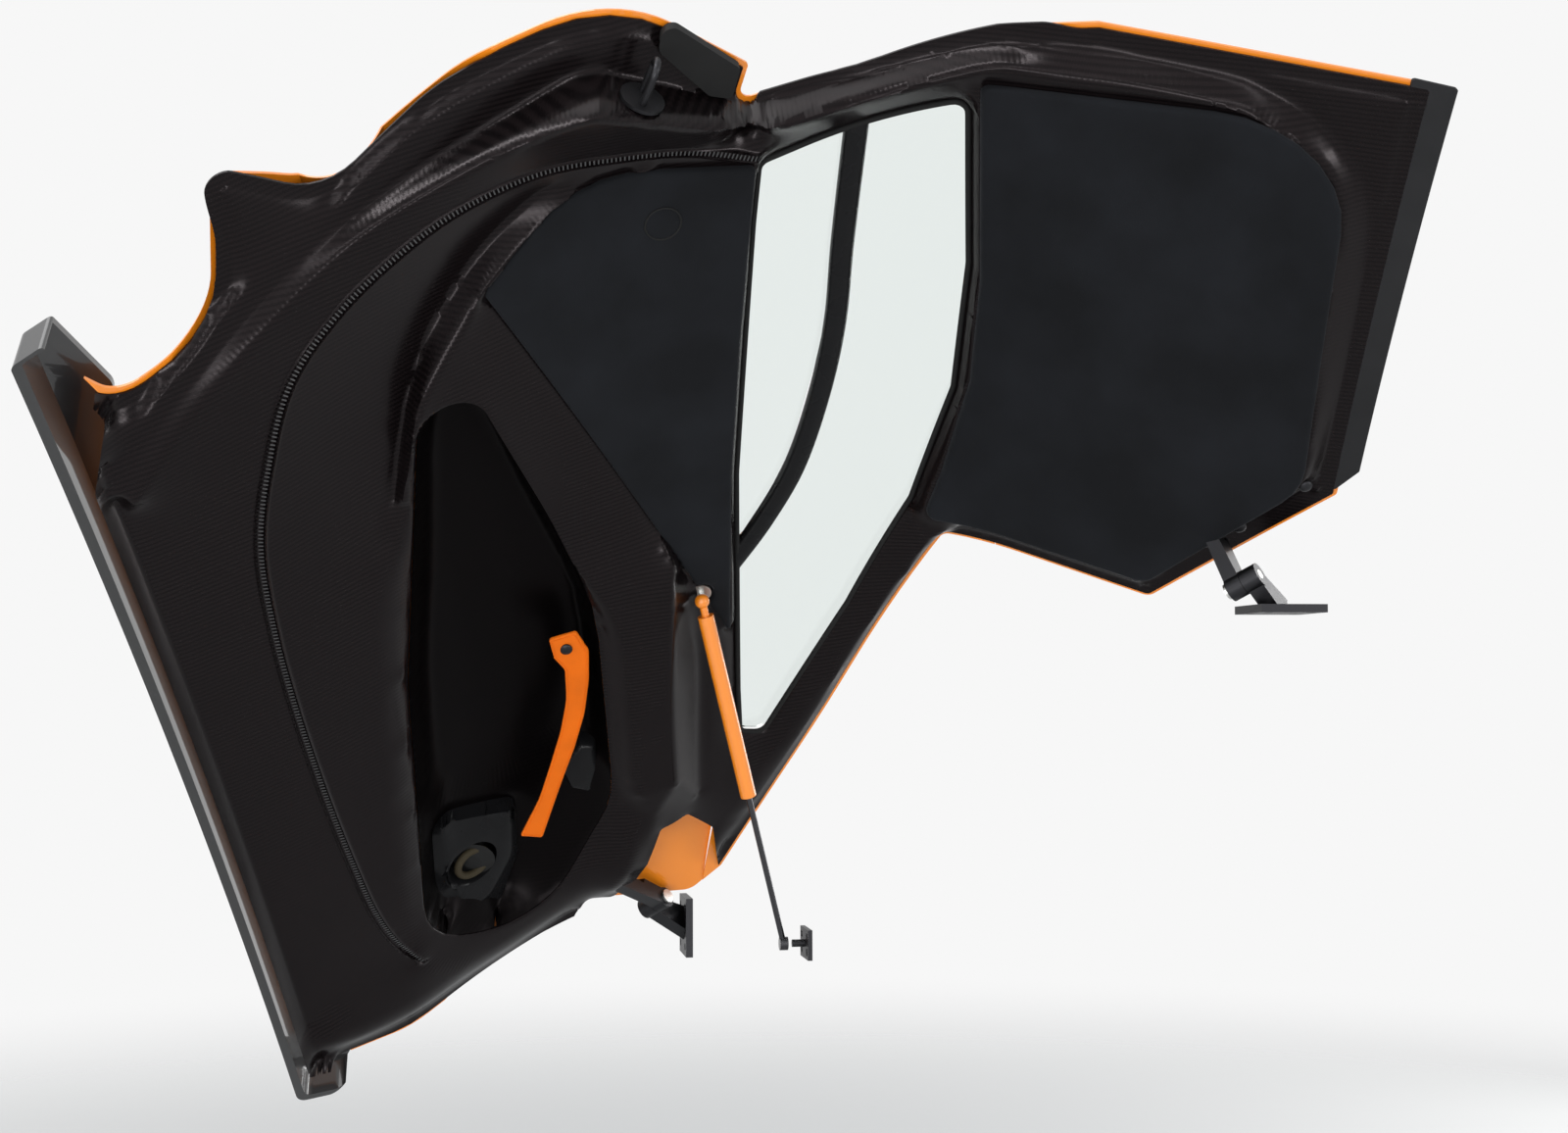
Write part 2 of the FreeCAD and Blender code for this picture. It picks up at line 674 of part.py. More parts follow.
def roof_pad():
    """The suede roof pad, recessed round the foot of the upper hinge arm."""
    start = UPPER_ANCHOR - V(0, 0, OPEN_SIDE)
    recess = Part.makeCylinder(ARM_END[0] / 2.0 + 4.0, 2.0 * OPEN_SIDE, start, V(0, 0, 1))
    return frame_pad(ROOF_PAD, PLATEAU_LEVEL, PAD_THICKNESS).cut(recess)


def divider_band(width):
    """The curved strip of the window divider, as a prism along h."""
    left = offset_path(DIVIDER_PATH, width / 2.0)
    right = offset_path(DIVIDER_PATH, -width / 2.0)
    corners = left + right[::-1]
    return prism(corners)


def offset_path(path, distance):
    points = offset_polygon([(w, u) for w, u, radius in path], distance)
    turned = []
    for (w, u), (_, _, radius) in zip(points, path):
        turned.append((w, u, max(radius + distance, 1.0)))
    return turned


def window_divider():
    depth = shell(GLASS_LEVEL - GLASS_WALL - DIVIDER_IN, GLASS_LEVEL + DIVIDER_OUT)
    return depth.common(divider_band(DIVIDER_WIDTH)).common(prism(WINDOW, GAP))


def glass():
    pane = shell(GLASS_LEVEL - GLASS_WALL, GLASS_LEVEL).common(prism(WINDOW, GAP))
    return pane.cut(divider_band(DIVIDER_WIDTH))


def window_upper_glass():
    return biggest(glass(), 0)


def window_lower_glass():
    return biggest(glass(), 1)


def biggest(shape, rank):
    return sorted(shape.Solids, key=lambda s: -s.Volume)[rank]


def gutter_flange():
    """The black flange along the roof's inner edge, under the joint with the car's roof."""
    strip = shell(BASE_LEVEL, BASE_LEVEL + MOULDING_WALL).common(prism(GUTTER))
    return strip.cut(prism(DOOR_EDGE, LIP_WIDTH - GAP))


def sill_blade():
    """The black channel along the door's foot, open towards the door."""
    block = shell(BLADE_IN, BLADE_OUT).common(prism(BLADE))
    hollow = shell(BLADE_IN + SKIN_WALL, BLADE_OUT - SKIN_WALL).common(prism(BLADE, SKIN_WALL))
    hollow.translate(V(0.0, -2.0 * SKIN_WALL, 0.0))
    return block.cut(hollow)


def speaker_place():
    """The middle of the speaker, on the face of its housing."""
    w, u = SPEAKER_CENTRE
    return on_door(u, w, POCKET_FLOOR_LEVEL - MOULDING_WALL - SPEAKER_HEIGHT)


def speaker_housing():
    """The block that fills the pocket's front end, with a round recess for the cone."""
    deep = POCKET_FLOOR_LEVEL - MOULDING_WALL
    body = shell(deep - SPEAKER_HEIGHT, deep).common(prism(SPEAKER))
    body = body.common(prism(POCKET, MOULDING_WALL + GAP))
    start = speaker_place() - V(0, 0, SPEAKER_RECESS)
    return body.cut(Part.makeCylinder(SPEAKER_RADIUS, 3.0 * SPEAKER_RECESS, start, V(0, 0, 1)))


def speaker_cone():
    base = speaker_place() + V(0, 0, 2.0 * SPEAKER_RECESS)
    return Part.makeCone(SPEAKER_RADIUS - GAP, 0.4 * SPEAKER_RADIUS, CONE_DEPTH, base, V(0, 0, -1))


def bar(start, end, wide, thick, across):
    """A straight tapered bar between two places: (width, thickness) pairs at its ends."""
    along = (end - start).normalize()
    side = across.cross(along).normalize()
    up = along.cross(side)
    wires = []
    for place, (w, t) in ((start, wide), (end, thick)):
        ring = [place + side * (sx * w / 2.0) + up * (sy * t / 2.0)
                for sx, sy in ((-1, -1), (1, -1), (1, 1), (-1, 1))]
        wires.append(Part.makePolygon(ring + [ring[0]]))
    return Part.makeLoft(wires, True, True)


def seated(shape):
    """What stands off the moulding, cut to lie on the tray's face."""
    return biggest(shape.cut(tray_form()), 0)


def car_to_door(vector):
    return FreeCAD.Rotation(V(1, 0, 0), PANEL_LEAN).multVec(vector)


def barrel(pivot, axis, start, end, radius, bore=0.0):
    """A round eye along a hinge axis, from start to end past the pivot."""
    eye = Part.makeCylinder(radius, end - start, pivot + axis * start, axis)
    if bore:
        eye = eye.cut(Part.makeCylinder(bore, end - start + 2.0, pivot + axis * (start - 1.0), axis))
    return eye


def axis_direction():
    return V(UPPER_PIVOT).normalize()


def hinge_arm(pivot, side, anchor):
    """A door side hinge arm, in the door frame: an eye on the pin and a bar to the moulding."""
    axis = car_to_door(axis_direction())
    near, far = LUG_LENGTH / 2.0 + EYE_GAP, LUG_LENGTH / 2.0 + EYE_GAP + EYE_LENGTH
    start, end = (near, far) if side > 0 else (-far, -near)
    eye = barrel(pivot, axis, start, end, EYE_RADIUS)
    middle = pivot + axis * ((start + end) / 2.0)
    arm = bar(middle, anchor, (2.0 * EYE_RADIUS - ROOT_TRIM, EYE_LENGTH), ARM_END, axis)
    clear = near - EYE_LENGTH if side > 0 else -near
    arm = arm.cut(barrel(pivot, axis, clear, clear + EYE_LENGTH, 3.0 * EYE_RADIUS))
    clear = far if side > 0 else -far - EYE_LENGTH
    head = PIN_RADIUS + PIN_HEAD_RIM + 2.0
    arm = arm.cut(barrel(pivot, axis, clear, clear + EYE_LENGTH, head))
    bore = barrel(pivot, axis, start - 1.0, end + 1.0, PIN_RADIUS + PIN_PLAY)
    return seated(eye.fuse(arm).cut(bore))


def lower_hinge_arm():
    return hinge_arm(V(0, 0, 0), 1, LOWER_ANCHOR)


def upper_hinge_arm():
    return hinge_arm(car_to_door(UPPER_PIVOT), -1, UPPER_ANCHOR)


def hinge_pin(pivot, side):
    axis = axis_direction()
    near = -LUG_LENGTH / 2.0
    far = LUG_LENGTH / 2.0 + 2.0 * EYE_GAP + EYE_LENGTH
    start, end = (near, far) if side > 0 else (-far, -near)
    pin = barrel(pivot, axis, start, end, PIN_RADIUS)
    head = end if side > 0 else start - PIN_HEAD
    return pin.fuse(barrel(pivot, axis, head, head + PIN_HEAD, PIN_RADIUS + PIN_HEAD_RIM))


def hinge_bracket(pivot, reach, plate_size, plate_normal, spacing):
    """A car side bracket: a lug on the pin, a neck square to the axis and a bolted plate."""
    axis = axis_direction()
    lug = barrel(pivot, axis, -LUG_LENGTH / 2.0, LUG_LENGTH / 2.0, EYE_RADIUS)
    foot = pivot + reach
    neck = bar(pivot, foot, (2.0 * EYE_RADIUS - ROOT_TRIM, LUG_LENGTH - 2.0), NECK_END, axis)
    plate = mount_plate(foot, plate_size, plate_normal, spacing)
    solid = lug.fuse(neck).fuse(plate)
    behind = Part.makeCylinder(2.0 * plate_size[0], 2.0 * plate_size[0], foot, -plate_normal)
    solid = solid.cut(behind)
    return solid.cut(barrel(pivot, axis, -LUG_LENGTH, LUG_LENGTH, PIN_RADIUS))


def mount_plate(foot, size, normal, spacing):
    """A rounded plate whose back face is at foot, with a bolt hole near each corner."""
    length, height, thick = size
    across = V(1, 0, 0)
    up = normal.cross(across)
    corner = foot - across * (length / 2.0) - up * (height / 2.0)
    ring = [corner, corner + across * length, corner + across * length + up * height,
            corner + up * height, corner]
    plate = Part.Face(Part.makePolygon(ring)).extrude(normal * thick)
    for sx in (-0.5, 0.5):
        for sy in (-0.5, 0.5):
            place = foot + across * (sx * spacing[0]) + up * (sy * spacing[1]) - normal
            plate = plate.cut(Part.makeCylinder(BOLT_HOLE, thick + 2.0, place, normal))
    return plate


def lower_hinge_bracket():
    return hinge_bracket(V(0, 0, 0), LOWER_REACH, PLATE_SIZE, V(0, 1, 0), BOLT_SPACING)


def upper_hinge_bracket():
    return hinge_bracket(UPPER_PIVOT, UPPER_REACH, PLATE_SIZE, V(0, 0, 1), BOLT_SPACING)


def lower_hinge_pin():
    return hinge_pin(V(0, 0, 0), 1)


def upper_hinge_pin():
    return hinge_pin(UPPER_PIVOT, -1)


def strut_top():
    """The upper ball of the gas strut, in the closed door frame."""
    u, w = STRUT_TOP
    return on_door(u, w, STRUT_TOP_LEVEL)


def opened(vector):
    """A place in the closed door frame, carried to the open door in the car."""
    return placement().multVec(vector)


def placement():
    lean = FreeCAD.Placement(V(0, 0, 0), FreeCAD.Rotation(V(1, 0, 0), -PANEL_LEAN))
    swing = FreeCAD.Placement(V(0, 0, 0), FreeCAD.Rotation(UPPER_PIVOT, -OPEN_ANGLE))
    return swing.multiply(lean)


def strut_upper_stud():
    """A ball on a short stud with a round foot on the tray."""
    top = strut_top()
    u, w = STRUT_TOP
    ground = on_door(u, w, PLATEAU_LEVEL)
    stud = Part.makeCylinder(STUD_RADIUS, (ground - top).Length, top, ground - top)
    start = ground - V(0, 0, STUD_BASE_HEIGHT)
    base = Part.makeCylinder(STUD_BASE, 2.0 * STUD_BASE_HEIGHT, start, V(0, 0, 1))
    return seated(stud.fuse(Part.makeSphere(BALL_RADIUS, top)).fuse(base))


def strut_line():
    top = opened(strut_top())
    along = V(STRUT_FOOT) - top
    return top, V(along).normalize(), along.Length


def strut_cylinder():
    """The orange pressure tube, with its socket on the upper ball and its gland."""
    top, along, length = strut_line()
    tube = Part.makeCylinder(STRUT_RADIUS, STRUT_TUBE - STRUT_NECK, top + along * STRUT_NECK, along)
    neck = Part.makeCylinder(STRUT_NECK_RADIUS, STRUT_NECK, top, along)
    body = tube.fuse(neck).fuse(Part.makeSphere(BALL_RADIUS + SOCKET_WALL, top))
    bore = Part.makeCylinder(ROD_RADIUS + ROD_PLAY, STRUT_TUBE, top + along * ROD_TOP_CLOSED, along)
    ball = Part.makeSphere(BALL_RADIUS + PIN_PLAY, top)
    u, w = STRUT_TOP
    ground = opened(on_door(u, w, PLATEAU_LEVEL))
    opening = Part.makeCone(BALL_RADIUS - 1.0, 2.0 * BALL_RADIUS, CUP_DEPTH, top, ground - top)
    return body.cut(bore).cut(ball).cut(opening)


def strut_rod():
    """The rod, with the flat round eye that turns on the car's stud."""
    top, along, length = strut_line()
    foot = V(STRUT_FOOT)
    rod = Part.makeCylinder(ROD_RADIUS, STRUT_ROD, foot - along * STRUT_ROD, along)
    start = foot - V(0, ROD_EYE_LENGTH / 2.0, 0)
    return rod.fuse(Part.makeCylinder(ROD_EYE_RADIUS, ROD_EYE_LENGTH, start, V(0, 1, 0)))


def strut_lower_bracket():
    """A plate with a stud that ends beside the rod's eye."""
    foot = V(STRUT_FOOT) - V(0, FOOT_STANDOFF, 0)
    plate = mount_plate(foot, FOOT_PLATE, V(0, 1, 0), FOOT_BOLTS)
    reach = FOOT_STANDOFF - ROD_EYE_LENGTH / 2.0 - FOOT_CLEARANCE
    return plate.fuse(Part.makeCylinder(FOOT_STUD_RADIUS, reach, foot, V(0, 1, 0)))


def pull_strap():
    return shell(STRAP_LEVEL, STRAP_LEVEL + STRAP_THICKNESS).common(prism(STRAP))


def rear_end_pad():
    """The rubbing pad on the flange at the door's rear upper corner."""
    return seated(shell(END_PAD_LEVEL, BASE_LEVEL - GAP).common(prism(END_PAD)))


def striker_plate():
    place, outward = latch_place()
    return Part.makeCylinder(STRIKER_RADIUS, STRIKER_THICKNESS, place, outward)


def striker_loop():
    """A round bar bent to a U, that stands out of its plate for the latch on the car."""
    place, outward = latch_place()
    base = place + outward * STRIKER_THICKNESS
    across = outward.cross(V(0, 0, 1)).normalize()
    side = across.cross(outward)
    straight = LOOP_HEIGHT - LOOP_RADIUS
    bend = base + outward * straight
    half = Part.makeCylinder(3.0 * LOOP_RADIUS, 3.0 * LOOP_RADIUS, bend, outward)
    loop = Part.makeTorus(LOOP_RADIUS, LOOP_BAR, bend, across).common(half)
    for reach in (-LOOP_RADIUS, LOOP_RADIUS):
        loop = loop.fuse(Part.makeCylinder(LOOP_BAR, straight, base + side * reach, outward))
    return loop


DOOR_PIECES = [
    ("inner_moulding", inner_moulding),
    ("map_pocket", map_pocket),
    ("outer_skin", outer_skin),
    ("pillar_skin", pillar_skin),
    ("roof_skin", roof_skin),
    ("gutter_flange", gutter_flange),
    ("sill_blade", sill_blade),
    ("window_upper_glass", window_upper_glass),
    ("window_lower_glass", window_lower_glass),
    ("window_divider", window_divider),
    ("door_pad", door_pad),
    ("roof_pad", roof_pad),
    ("speaker_housing", speaker_housing),
    ("speaker_cone", speaker_cone),
    ("pull_strap", pull_strap),
    ("striker_plate", striker_plate),
    ("striker_loop", striker_loop),
    ("rear_end_pad", rear_end_pad),
    ("lower_hinge_arm", lower_hinge_arm),
    ("upper_hinge_arm", upper_hinge_arm),
    ("strut_upper_stud", strut_upper_stud),
]
OPEN_PIECES = [
    ("strut_cylinder", strut_cylinder),
    ("strut_rod", strut_rod),
    ("lower_hinge_bracket", lower_hinge_bracket),
    ("upper_hinge_bracket", upper_hinge_bracket),
    ("lower_hinge_pin", lower_hinge_pin),
    ("upper_hinge_pin", upper_hinge_pin),
    ("strut_lower_bracket", strut_lower_bracket),
]


def write(name, shape):
    shape.translate(-LOWER_REACH)
    solids = [(round(s.Volume / 1000.0, 2)) for s in shape.Solids]
    print(name, shape.isValid(), solids, "cm3")
    shape.exportStep("parts/" + name + ".step")


def main():
    """Door pieces are built closed and carried open; the others are built where they are."""
    os.makedirs("parts", exist_ok=True)
    for name, build in DOOR_PIECES:
        write(name, build().transformed(placement().toMatrix(), True))
    for name, build in OPEN_PIECES:
        write(name, build().copy())


main()
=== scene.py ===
# %% [markdown]
# A sports car door that opens up and forward, seen from behind the car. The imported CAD
# model is the fixed frame: every hinge, bracket and pane stays where it puts them, and
# what the eye reads as surface, such as the carbon tray and the suede pads, is made here.

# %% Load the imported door
import json
import math

import bpy
import numpy as np
from mathutils import Matrix, Vector
from mathutils.geometry import delaunay_2d_cdt
from mathutils.kdtree import KDTree


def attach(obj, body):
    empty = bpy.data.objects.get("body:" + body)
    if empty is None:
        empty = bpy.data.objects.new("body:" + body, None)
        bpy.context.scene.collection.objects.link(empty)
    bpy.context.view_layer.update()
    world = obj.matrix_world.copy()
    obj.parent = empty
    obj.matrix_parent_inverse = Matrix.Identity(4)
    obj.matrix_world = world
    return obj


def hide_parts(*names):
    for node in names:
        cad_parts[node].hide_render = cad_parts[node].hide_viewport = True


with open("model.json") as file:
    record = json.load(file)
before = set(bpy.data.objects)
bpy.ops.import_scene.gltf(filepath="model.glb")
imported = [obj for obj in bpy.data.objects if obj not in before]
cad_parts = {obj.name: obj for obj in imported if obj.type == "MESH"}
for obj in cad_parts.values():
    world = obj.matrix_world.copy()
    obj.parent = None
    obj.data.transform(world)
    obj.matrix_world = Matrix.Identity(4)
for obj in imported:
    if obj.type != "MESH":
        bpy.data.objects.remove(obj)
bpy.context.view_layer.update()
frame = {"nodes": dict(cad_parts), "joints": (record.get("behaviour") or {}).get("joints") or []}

print("CAD nodes:", len(frame["nodes"]))

# %% [markdown]
# Door makers draw a door closed and flat: u runs forward, w runs down the door and h points
# out of the cabin, in millimetres. One matrix carries that drawing to the open door. It is
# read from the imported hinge, so the drawing and the CAD can't drift apart.

# %% The door's own drawing frame
MM = 0.001
PANEL_LEAN = math.radians(42.0)
SWING = {joint["name"]: joint for joint in frame["joints"]}["door_swing"]
OPEN_ANGLE = math.radians(SWING["range_deg"][1])
HINGE = Vector(SWING["pos_m"])
TO_CAR = (Matrix.Translation(HINGE) @ Matrix.Rotation(-OPEN_ANGLE, 4, Vector(SWING["axis"]))
          @ Matrix.Rotation(-PANEL_LEAN, 4, "X") @ Matrix.Scale(MM, 4))


def to_car(points):
    """Carry (u, w, h) rows in millimetres to the open door, in metres."""
    matrix = np.array(TO_CAR)
    return points @ matrix[:3, :3].T + matrix[:3, 3]


def shown(name, data):
    """A new object in the scene."""
    thing = bpy.data.objects.new(name, data)
    bpy.context.scene.collection.objects.link(thing)
    return thing


# %% [markdown]
# The whole door follows one reference surface: a side profile of straight runs and arcs,
# swept round a far axis so that it crowns gently from front to back. Every piece is given
# by its outline and by its rise, which is how far it stands off that surface into the cabin.

# %% The reference surface
PROFILE = [(-1010.0, -153.4, 0.0), (-430.0, 145.0, 350.0), (130.0, 12.0, 900.0), (540.0, -289.1, 0.0)]
CROWN_RADIUS = 6000.0
CROWN_MIDDLE = -650.0


def round_corner(before, corner, after, radius):
    """Where an arc of this radius leaves the two sides of a corner, and its centre."""
    back = (before - corner) / np.linalg.norm(before - corner)
    ahead = (after - corner) / np.linalg.norm(after - corner)
    half = math.acos(max(-1.0, min(1.0, float(back @ ahead)))) / 2.0
    reach = radius / math.tan(half)
    middle = (back + ahead) / max(np.linalg.norm(back + ahead), 1e-9)
    return corner + back * reach, corner + ahead * reach, corner + middle * radius / math.sin(half)


def side_profile(w):
    """Height and slope of the side profile at each w."""
    knots = np.array([corner[:2] for corner in PROFILE])
    runs = np.diff(knots[:, 1]) / np.diff(knots[:, 0])
    span = np.clip(np.searchsorted(knots[:, 0], w) - 1, 0, len(runs) - 1)
    height = knots[span, 1] + runs[span] * (w - knots[span, 0])
    slope = runs[span].copy()
    for i in range(1, len(knots) - 1):
        radius = PROFILE[i][2]
        first, last, centre = round_corner(knots[i - 1], knots[i], knots[i + 1], radius)
        here = (w > first[0]) & (w < last[0])
        depth = np.sqrt(radius ** 2 - (w[here] - centre[0]) ** 2)
        height[here] = centre[1] + depth
        slope[here] = -(w[here] - centre[0]) / depth
    return height, slope


def on_door(w, u, rise):
    """Points (u, w, h) that stand off the reference surface by rise, into the cabin."""
    foot = w.copy()
    for _ in range(4):
        height, slope = side_profile(foot)
        length = np.sqrt(1.0 + slope ** 2)
        foot = w - rise * slope / length
    height = height - rise / length
    crowned = np.sqrt((CROWN_RADIUS + height) ** 2 - (u - CROWN_MIDDLE) ** 2) - CROWN_RADIUS
    return np.column_stack([u, w, crowned])


# %% [markdown]
# Outlines are drawn the way a pattern maker draws them: a few corners, each with the radius
# that rounds it. Lines that wander, such as a moulded crease, are a smooth spline through a
# few given points, and each point may also give the rise of the crease there.

# %% Outlines and creases
def rounded(corners, step):
    """A closed outline of (w, u) points from corners with radii."""
    knots = np.array([corner[:2] for corner in corners], float)
    line = []
    for i, (_, _, radius) in enumerate(corners):
        first, last, centre = round_corner(knots[i - 1], knots[i], knots[(i + 1) % len(knots)], radius)
        start = math.atan2(first[1] - centre[1], first[0] - centre[0])
        turn = math.atan2(last[1] - centre[1], last[0] - centre[0]) - start
        turn = (turn + math.pi) % (2.0 * math.pi) - math.pi
        count = max(2, int(abs(turn) / math.radians(14.0)) + 1)
        for k in range(count + 1):
            angle = start + turn * k / count
            line.append(centre + radius * np.array([math.cos(angle), math.sin(angle)]))
    return resample(np.array(line + [line[0]]), step)[:-1]


def resample(line, step):
    """The same line with points about a step apart, its own corners kept where they turn."""
    lengths = np.linalg.norm(np.diff(line[:, :2], axis=0), axis=1)
    made = [line[0]]
    for start, end, length in zip(line, line[1:], lengths):
        if length < 0.3:
            continue
        count = max(1, int(round(length / step)))
        for k in range(1, count + 1):
            made.append(start + (end - start) * k / count)
    return np.array(made)


def spline(points, step):
    """A smooth line through points, with every column carried along."""
    points = np.array(points, float)
    ends = np.vstack([2 * points[0] - points[1], points, 2 * points[-1] - points[-2]])
    line = []
    for a, b, c, d in zip(ends, ends[1:], ends[2:], ends[3:]):
        count = max(2, int(np.linalg.norm((c - b)[:2]) / step) + 1)
        for t in np.linspace(0.0, 1.0, count, endpoint=False):
            line.append(0.5 * (2 * b + (c - a) * t + (2 * a - 5 * b + 4 * c - d) * t ** 2
                               + (3 * b - a - 3 * c + d) * t ** 3))
    return np.array(line + [points[-1]])


def inset(outline, distance):
    """A closed (w, u) line moved inwards, each point along its own normal."""
    ahead = np.roll(outline, -1, axis=0) - np.roll(outline, 1, axis=0)
    normal = np.column_stack([-ahead[:, 1], ahead[:, 0]]) / np.linalg.norm(ahead, axis=1)[:, None]
    area = np.sum(outline[:, 0] * np.roll(outline[:, 1], -1) - np.roll(outline[:, 0], -1) * outline[:, 1])
    return outline + normal * distance * (1.0 if area > 0 else -1.0)


def beside(line, distance):
    """An open line moved sideways."""
    ahead = np.gradient(line[:, :2], axis=0)
    normal = np.column_stack([-ahead[:, 1], ahead[:, 0]]) / np.linalg.norm(ahead, axis=1)[:, None]
    moved = line.copy()
    moved[:, :2] += normal * distance
    return moved


def inside(outline, points):
    """Which points lie inside a closed outline."""
    w, u = points[:, 0], points[:, 1]
    count = np.zeros(len(points), int)
    for (w1, u1), (w2, u2) in zip(outline[:, :2], np.roll(outline[:, :2], -1, axis=0)):
        crosses = (u1 > u) != (u2 > u)
        if u1 != u2:
            count += crosses & (w < (w2 - w1) * (u - u1) / (u2 - u1) + w1)
    return count % 2 == 1


def distance_along(line, points):
    """Distance from each point to an open line, and how far along the line that is."""
    starts, ends = line[:-1, :2], line[1:, :2]
    spans = ends - starts
    squares = np.maximum((spans ** 2).sum(1), 1e-9)
    before = np.concatenate([[0.0], np.cumsum(np.sqrt(squares))[:-1]])
    best = np.full(len(points), 1e9)
    along = np.zeros(len(points))
    for k in range(len(starts)):
        offset = points - starts[k]
        t = np.clip(offset @ spans[k] / squares[k], 0.0, 1.0)
        gap = np.hypot(offset[:, 0] - t * spans[k, 0], offset[:, 1] - t * spans[k, 1])
        nearer = gap < best
        best[nearer] = gap[nearer]
        along[nearer] = before[k] + t[nearer] * math.sqrt(squares[k])
    return best, along


def smooth(value, low, high):
    t = np.clip((value - low) / (high - low), 0.0, 1.0)
    return t * t * (3.0 - 2.0 * t)


# %% [markdown]
# A moulded panel is like cloth pulled over wires. The wires are its creases, each bent to its
# own rise, and between them the sheet takes the shape of least stretch. The panel is cut into
# triangles that follow every wire, the free points relax until each is the mean of its
# neighbours, and then chosen creases are softened.

# %% Panels stretched over creases
PULL_LIMITS = (0.02, 40.0)
RELAX_PASSES = 2500
RELAXED = 1e-9


def kd_tree(places):
    """A search tree of (w, u) places."""
    tree = KDTree(len(places))
    for k, (w, u) in enumerate(places):
        tree.insert((w, u, 0.0), k)
    tree.balance()
    return tree


class Panel:
    """A sheet in the door's drawing: outlines, creases with rises, and a fill between them."""

    def __init__(self):
        self.points, self.edges, self.rises = [], [], []

    def line(self, line, rise=None, closed=False):
        """Add a line that the triangles follow. A rise fixes it, a third column does too."""
        start, count = len(self.points), len(line)
        last = count if closed else count - 1
        self.points += [tuple(point[:2]) for point in line.tolist()]
        if line.shape[1] > 2:
            rise = line[:, 2]
        self.rises += np.broadcast_to(math.nan if rise is None else rise, count).tolist()
        self.edges += [(start + k, start + (k + 1) % count) for k in range(last)]

    def fill(self, outline, spacing):
        """Even points inside an outline, kept off the lines."""
        tree = kd_tree(self.points)
        low, high = outline.min(0), outline.max(0)
        rows = np.arange(low[1], high[1], spacing * math.sqrt(0.75))
        grid = np.array([(w + (k % 2) * spacing / 2.0, u) for k, u in enumerate(rows)
                         for w in np.arange(low[0], high[0], spacing)])
        for w, u in grid[inside(outline, grid)]:
            if tree.find((w, u, 0.0))[2] > 0.6 * spacing:
                self.points.append((w, u))
                self.rises.append(math.nan)

    def cut(self, keep):
        """Triangulate, and keep the triangles whose middle passes the test."""
        made = delaunay_2d_cdt([Vector(p) for p in self.points], self.edges, [], 0, 0.05, True)
        verts, faces, origins = made[0], made[2], made[3]
        place = np.array([(v.x, v.y) for v in verts])
        triangles = np.array(faces, int)
        triangles = triangles[keep(place[triangles].mean(1))]
        used, triangles = np.unique(triangles, return_inverse=True)
        self.triangles = triangles.reshape(-1, 3)
        self.place = place[used]
        fixed = [[self.rises[k] for k in origins[v] if not math.isnan(self.rises[k])] for v in used]
        self.fixed = np.array([bool(values) for values in fixed])
        self.rise = np.array([max(values) if values else 0.0 for values in fixed])
        self.weigh()

    def weigh(self):
        """Cotangent weights: the mean they give keeps a tilted plane flat on any triangles."""
        sides, cotangents = [], []
        for k in range(3):
            first, second, third = (self.triangles[:, (k + j) % 3] for j in range(3))
            a, b = self.place[first] - self.place[third], self.place[second] - self.place[third]
            cross = np.abs(a[:, 0] * b[:, 1] - a[:, 1] * b[:, 0])
            cotangents.append((a * b).sum(1) / np.maximum(cross, 1e-6))
            sides.append(np.column_stack([first, second]))
        sides = np.sort(np.vstack(sides), axis=1)
        pairs, place, counts = np.unique(sides, axis=0, return_inverse=True, return_counts=True)
        self.rim = pairs[counts == 1]
        self.on_rim = np.zeros(len(self.place), bool)
        self.on_rim[self.rim.ravel()] = True
        pull = np.bincount(place.ravel(), np.concatenate(cotangents), len(pairs))
        pull = np.clip(pull, *PULL_LIMITS)
        both = np.vstack([pairs, pairs[:, ::-1]])
        self.here, self.there = both[:, 0], both[:, 1]
        self.pull = np.concatenate([pull, pull])
        self.weight = np.bincount(self.here, self.pull, len(self.place))

    def mean(self, values):
        """The mean of each point's neighbours."""
        return np.bincount(self.here, self.pull * values[self.there], len(self.place)) / self.weight

    def relax(self):
        """Conjugate gradients on the free points until the sheet lies at rest."""
        free = ~self.fixed
        value = self.rise.copy()
        value[free] = value[self.fixed].mean()
        rest = np.where(free, self.weight * (self.mean(value) - value), 0.0)
        step, size = rest.copy(), float(rest @ rest)
        enough = size * RELAXED
        for _ in range(RELAX_PASSES):
            spread = np.where(free, self.weight * (step - self.mean(step)), 0.0)
            amount = size / max(float(step @ spread), 1e-12)
            value += amount * step
            rest -= amount * spread
            following = float(rest @ rest)
            if following <= enough:
                break
            step = rest + step * following / size
            size = following
        self.rise = value

    def ease(self, share, passes):
        """Average the sheet by a share at each point, but leave its rims."""
        for _ in range(passes):
            self.rise += share * ~self.on_rim * (self.mean(self.rise) - self.rise)

    def soften(self, line, radius, passes):
        """Round a crease: average the sheet near it, fading out at the radius."""
        gap, _ = distance_along(line, self.place)
        self.ease(0.7 * smooth(gap, radius, 0.4 * radius), passes)

    def under(self, line, lift=0.0):
        """Each (w, u) point of a line with the rise of the panel beneath it."""
        tree = kd_tree(self.place)
        rises = [self.rise[tree.find((w, u, 0.0))[1]] + lift for w, u in line[:, :2]]
        return np.column_stack([line[:, :2], rises])

